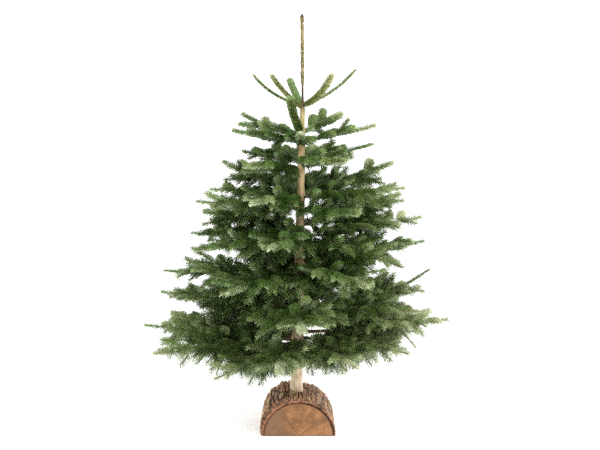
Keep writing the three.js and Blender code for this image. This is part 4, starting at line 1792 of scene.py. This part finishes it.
@dataclass
class LogStand:
    """Half of a round log lying along Y, bark up, with a socket for the trunk."""

    axis: TrunkAxis
    half_width: float = 0.1205
    height: float = 0.1150
    length: float = 0.214
    wood_columns: int = 96
    wood_rings: int = 22
    bark_thickness: Row = (0.0080, 0.0110, 0.0150, 0.0190, 0.0200, 0.0320, 0.0300, 0.0200, 0.0110)
    full_thickness: float = 0.0160
    bark_length: float = 0.211
    clearance: float = 0.0003
    relief: BarkRelief = BarkRelief()
    socket_floor: float = 0.0527
    socket_top: float = 0.20
    socket_room: float = 0.0024
    socket_rings: int = 24
    socket_sides: int = 48

    def build(self) -> list[bpy.types.Object]:
        """Make the wood and the bark, each with the socket cut.

        Returns:
            Both pieces.
        """
        pieces = {"log_wood": self._wood(), "log_bark": self._bark()}
        for node, piece in pieces.items():
            self._cut_socket(piece)
            dress(piece, node, node)
        return list(pieces.values())

    def _half_round(self, radius: np.ndarray | float, turn: np.ndarray, y: np.ndarray) -> np.ndarray:
        """Grid of points round the log: p = ((half_width + r) cos a, y, (height + r) sin a)."""
        across = (self.half_width + radius) * np.cos(turn)
        return np.stack([across, y, (self.height + radius) * np.sin(turn)], axis=-1)

    def _wood(self) -> bpy.types.Object:
        """Half-round core: p = (half_width * s * cos a, y, height * s * sin a) on two ends and a wall.

        Returns:
            The piece, closed.
        """
        shares = np.linspace(0.0, 1.0, self.wood_rings + 1)
        share, turn = np.meshgrid(shares, np.linspace(0.0, math.pi, self.wood_columns + 1), indexing="ij")
        ends = [np.stack([
            self.half_width * share * np.cos(turn),
            np.full(share.shape, side * self.length / 2.0),
            self.height * share * np.sin(turn),
        ], axis=-1).reshape(-1, 3) for side in (-1.0, 1.0)]
        count = share.size
        index = np.arange(count).reshape(share.shape)
        front = grid_quads(index[1:])
        middle = np.stack([index[0, :-1], index[1, :-1], index[1, 1:]], axis=-1)
        wall, floor_right, floor_left = (
            grid_quads(np.stack([edge, edge + count])) for edge in (index[-1], index[:, 0], index[:, -1])
        )
        quads = np.concatenate([front, front[:, ::-1] + count, wall, floor_right, floor_left[:, ::-1]])
        fans = np.concatenate([middle, middle[:, ::-1] + count])
        materials = [EndGrainFinish(self.half_width, self.height).material()]
        piece = make_mesh_piece("log_wood", np.concatenate(ends), [quads, fans], materials, smooth=False)
        self._weld(piece)
        return piece

    def _bark(self) -> bpy.types.Object:
        """Slab of bark over the half round. Plates stand out between furrows that run along the log.

        A point stands off the wood by its place's thickness, less a depth that is greatest in furrows
        and differs from plate to plate.

        Returns:
            The piece.
        """
        relief = self.relief
        angle = np.linspace(0.0, math.pi, relief.columns + 1)
        along = np.linspace(-0.5, 0.5, relief.rows + 1) * self.bark_length
        turn, y = np.meshgrid(angle, along, indexing="xy")
        thickness = np.interp(turn, np.linspace(0.0, math.pi, len(self.bark_thickness)), self.bark_thickness)
        flat = np.stack([turn * (self.half_width + self.full_thickness), y], axis=-1)
        bent = flat + relief.bend * np.stack([
            lattice_noise(flat, relief.bend_cell, Pattern.BARK_ACROSS),
            lattice_noise(flat, relief.bend_cell, Pattern.BARK_ALONG),
        ], axis=-1)
        edge, own = plate_pattern(bent, relief.plate, Pattern.PLATES)
        small_edge, small_own = plate_pattern(bent, relief.small_plate, Pattern.SMALL_PLATES)
        plate = ease(edge, 0.0, relief.plate_shoulder)
        layer = ease(small_edge, 0.0, relief.small_shoulder)
        depth = (
            relief.furrow_depth * (1.0 - plate) + relief.plate_depth * (1.0 - own) * plate
            + relief.small_furrow_depth * (1.0 - layer) * plate + relief.small_plate_depth * small_own * plate
        )
        height = 1.0 + (relief.mean_depth - depth) / self.full_thickness
        stand = np.clip(height, *relief.stand_range) * thickness
        rim = np.abs(y) / (self.bark_length / 2.0)
        stand = stand - relief.rim_depth * ease(rim, relief.rim_from, 1.0)
        ragged = relief.ragged * lattice_noise(flat, relief.ragged_cell, Pattern.BARK_RIM)
        y = y + np.sign(y) * ease(rim, relief.ragged_from, 1.0) * ragged
        outer = self._half_round(stand, turn, y)
        vertices, faces = slab_surface(outer, self._half_round(self.clearance, turn, y))
        slots = np.full(len(faces[0]), BarkSlot.LAYERS)
        furrow = (edge < relief.furrow_width) | (small_edge < relief.small_furrow_width)
        tint = np.where(furrow, BarkSlot.FURROW, self._tints(own, small_own, np.cos(turn)))
        slots[: relief.rows * relief.columns] = tint[:-1, :-1].ravel()
        finish = LogBarkFinish(self.half_width, self.height)
        return make_mesh_piece("log_bark", vertices, faces, finish.materials(), slots)

    def _tints(self, own: np.ndarray, small_own: np.ndarray, rightness: np.ndarray) -> np.ndarray:
        """Slots of the plates, dealt out by their chances: paler on the left as painted light, and greyer on
        the right as painted shade.

        Args:
            own: each plate's chance.
            small_own: each small plate's chance.
            rightness: -1 at the log's left edge and 1 at its right.

        Returns:
            One slot for each point.
        """
        relief = self.relief
        share = (own * relief.tint_turns[0] + small_own * relief.tint_turns[1]) % 1.0
        under = [share < limit for limit in relief.tint_shares]
        tint = np.select(under, [BarkSlot.BROWN, BarkSlot.PALE, BarkSlot.RED], BarkSlot.GREY)
        # painted light on the log's left side and painted shade on its right
        tint = np.where((tint == BarkSlot.GREY) & (rightness < relief.painted_light_left_of), BarkSlot.PALE, tint)
        return np.where((tint == BarkSlot.PALE) & (rightness > relief.painted_shade_right_of), BarkSlot.GREY, tint)

    def _weld(self, piece: bpy.types.Object) -> None:
        """Merge points that lie in one place, so the surface is closed.

        Args:
            piece: the piece, whose mesh is changed.
        """
        mesh = bmesh.new()
        mesh.from_mesh(piece.data)
        bmesh.ops.remove_doubles(mesh, verts=mesh.verts, dist=1e-6)
        mesh.to_mesh(piece.data)
        mesh.free()

    def _cut_socket(self, piece: bpy.types.Object) -> None:
        """Cut room for the trunk's foot: a closed tube along the axis, of the trunk's radius plus the room.

        Args:
            piece: the wood or the bark, whose mesh is replaced.
        """
        heights = np.linspace(self.socket_floor, self.socket_top, self.socket_rings)
        radii = (self.axis.radius(heights) + self.socket_room)[None]
        vertices, faces = tube_surfaces(
            self.axis.at(heights)[None], ALONG_X[None, None], ALONG_Y[None, None], radii, self.socket_sides,
        )
        cutter = make_mesh_piece("socket_cutter", vertices, faces, [piece.data.materials[0]])
        boolean = piece.modifiers.new("socket", "BOOLEAN")
        boolean.operation = "DIFFERENCE"
        boolean.solver = "EXACT"
        boolean.object = cutter
        evaluated = piece.evaluated_get(bpy.context.evaluated_depsgraph_get())
        cut = bpy.data.meshes.new_from_object(evaluated)
        piece.modifiers.clear()
        piece.data = cut
        bpy.data.objects.remove(cutter)


# Stage, lights and camera

@dataclass(frozen=True)
class Softbox:
    """A square area light that faces a point."""

    name: str
    place: Triple
    aim: Triple
    side: float
    power: float

    def build(self) -> None:
        """Make the light."""
        light = bpy.data.lights.new(self.name, "AREA")
        light.shape = "SQUARE"
        light.size = self.side
        light.energy = self.power
        holder = bpy.data.objects.new(self.name, light)
        holder.location = self.place
        holder.rotation_euler = (Vector(self.aim) - Vector(self.place)).to_track_quat("-Z", "Y").to_euler()
        bpy.context.scene.collection.objects.link(holder)


@dataclass
class Studio:
    """Pale curved sweep, white surroundings, soft lights and the camera of the photo."""

    camera_place: Triple = (0.0052, -2.8, 0.9368)
    camera_pitch: float = 0.07335
    lens: float = 47.33
    sensor: float = 36.0
    world: float = 0.9
    lights: tuple[Softbox, ...] = (
        Softbox("key", (-1.3, -1.9, 3.0), (0.0, 0.0, 0.7), 1.8, 62.0),
        Softbox("fill", (1.9, -1.7, 1.5), (0.0, 0.0, 0.6), 1.6, 56.0),
    )
    sweep_front: float = -6.0
    sweep_back: float = 2.5
    sweep_radius: float = 1.5
    sweep_height: float = 6.0
    sweep_half_width: float = 7.0
    sweep_steps: int = 24
    sweep_glow: float = 0.35
    paper: PlainFinish = PlainFinish("sweep_paper", (250, 250, 250), 0.9, 0.1)

    def build(self) -> None:
        """Make the sweep, the world, the lights and the camera."""
        scene = bpy.context.scene
        scene.view_settings.view_transform = "Standard"
        scene.cycles.use_denoising = False
        self._sweep()
        world = bpy.data.worlds.new("studio")
        world.use_nodes = True
        background = world.node_tree.nodes["Background"]
        background.inputs["Color"].default_value = (1.0, 1.0, 1.0, 1.0)
        background.inputs["Strength"].default_value = self.world
        scene.world = world
        for light in self.lights:
            light.build()
        camera = bpy.data.objects.new("camera", bpy.data.cameras.new("camera"))
        camera.location = self.camera_place
        camera.rotation_euler = (math.pi / 2.0 - self.camera_pitch, 0.0, 0.0)
        camera.data.lens = self.lens
        camera.data.sensor_width = self.sensor
        scene.collection.objects.link(camera)
        scene.camera = camera

    def _sweep(self) -> None:
        """Floor that curves up into a wall: a profile along Y, drawn out along X."""
        bend = np.linspace(0.0, math.pi / 2.0, self.sweep_steps)
        curve_y = self.sweep_back + self.sweep_radius * np.sin(bend)
        profile = np.concatenate([
            [[self.sweep_front, 0.0]],
            np.stack([curve_y, self.sweep_radius * (1.0 - np.cos(bend))], axis=1),
            [[self.sweep_back + self.sweep_radius, self.sweep_height]],
        ])
        span = np.array([-1.0, 1.0]) * self.sweep_half_width
        x, step = np.meshgrid(span, np.arange(len(profile)), indexing="xy")
        grid = np.stack([x, profile[step, 0], profile[step, 1]], axis=-1)
        quads = grid_quads(np.arange(step.size).reshape(-1, 2))[:, [0, 3, 2, 1]]
        paper = self.paper.material()
        shader = paper.node_tree.nodes["Principled BSDF"]
        shader.inputs["Emission Color"].default_value = (1.0, 1.0, 1.0, 1.0)
        shader.inputs["Emission Strength"].default_value = self.sweep_glow
        make_mesh_piece("sweep", grid.reshape(-1, 3), [quads], [paper])


def main() -> None:
    """Build every sub-assembly in order and log what each one made."""
    logging.basicConfig(level=logging.INFO, format="%(message)s")
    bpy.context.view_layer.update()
    axis = TrunkAxis()
    shoots = ShootTable.of(Growth(GrowthRule(), axis).shoots)
    LOG.info("shoots: %d", len(shoots.length))
    made = [Trunk(axis).build()]
    made += Limbs(shoots, axis).build()
    made += Needles(shoots, axis).build()
    made.append(Buds(shoots.rows(shoots.years == 1)).build())
    made += LogStand(axis).build()
    for piece in made:
        LOG.info("%s: %d faces", piece.name, len(piece.data.polygons))
    Studio().build()


if __name__ == "__main__":
    main()
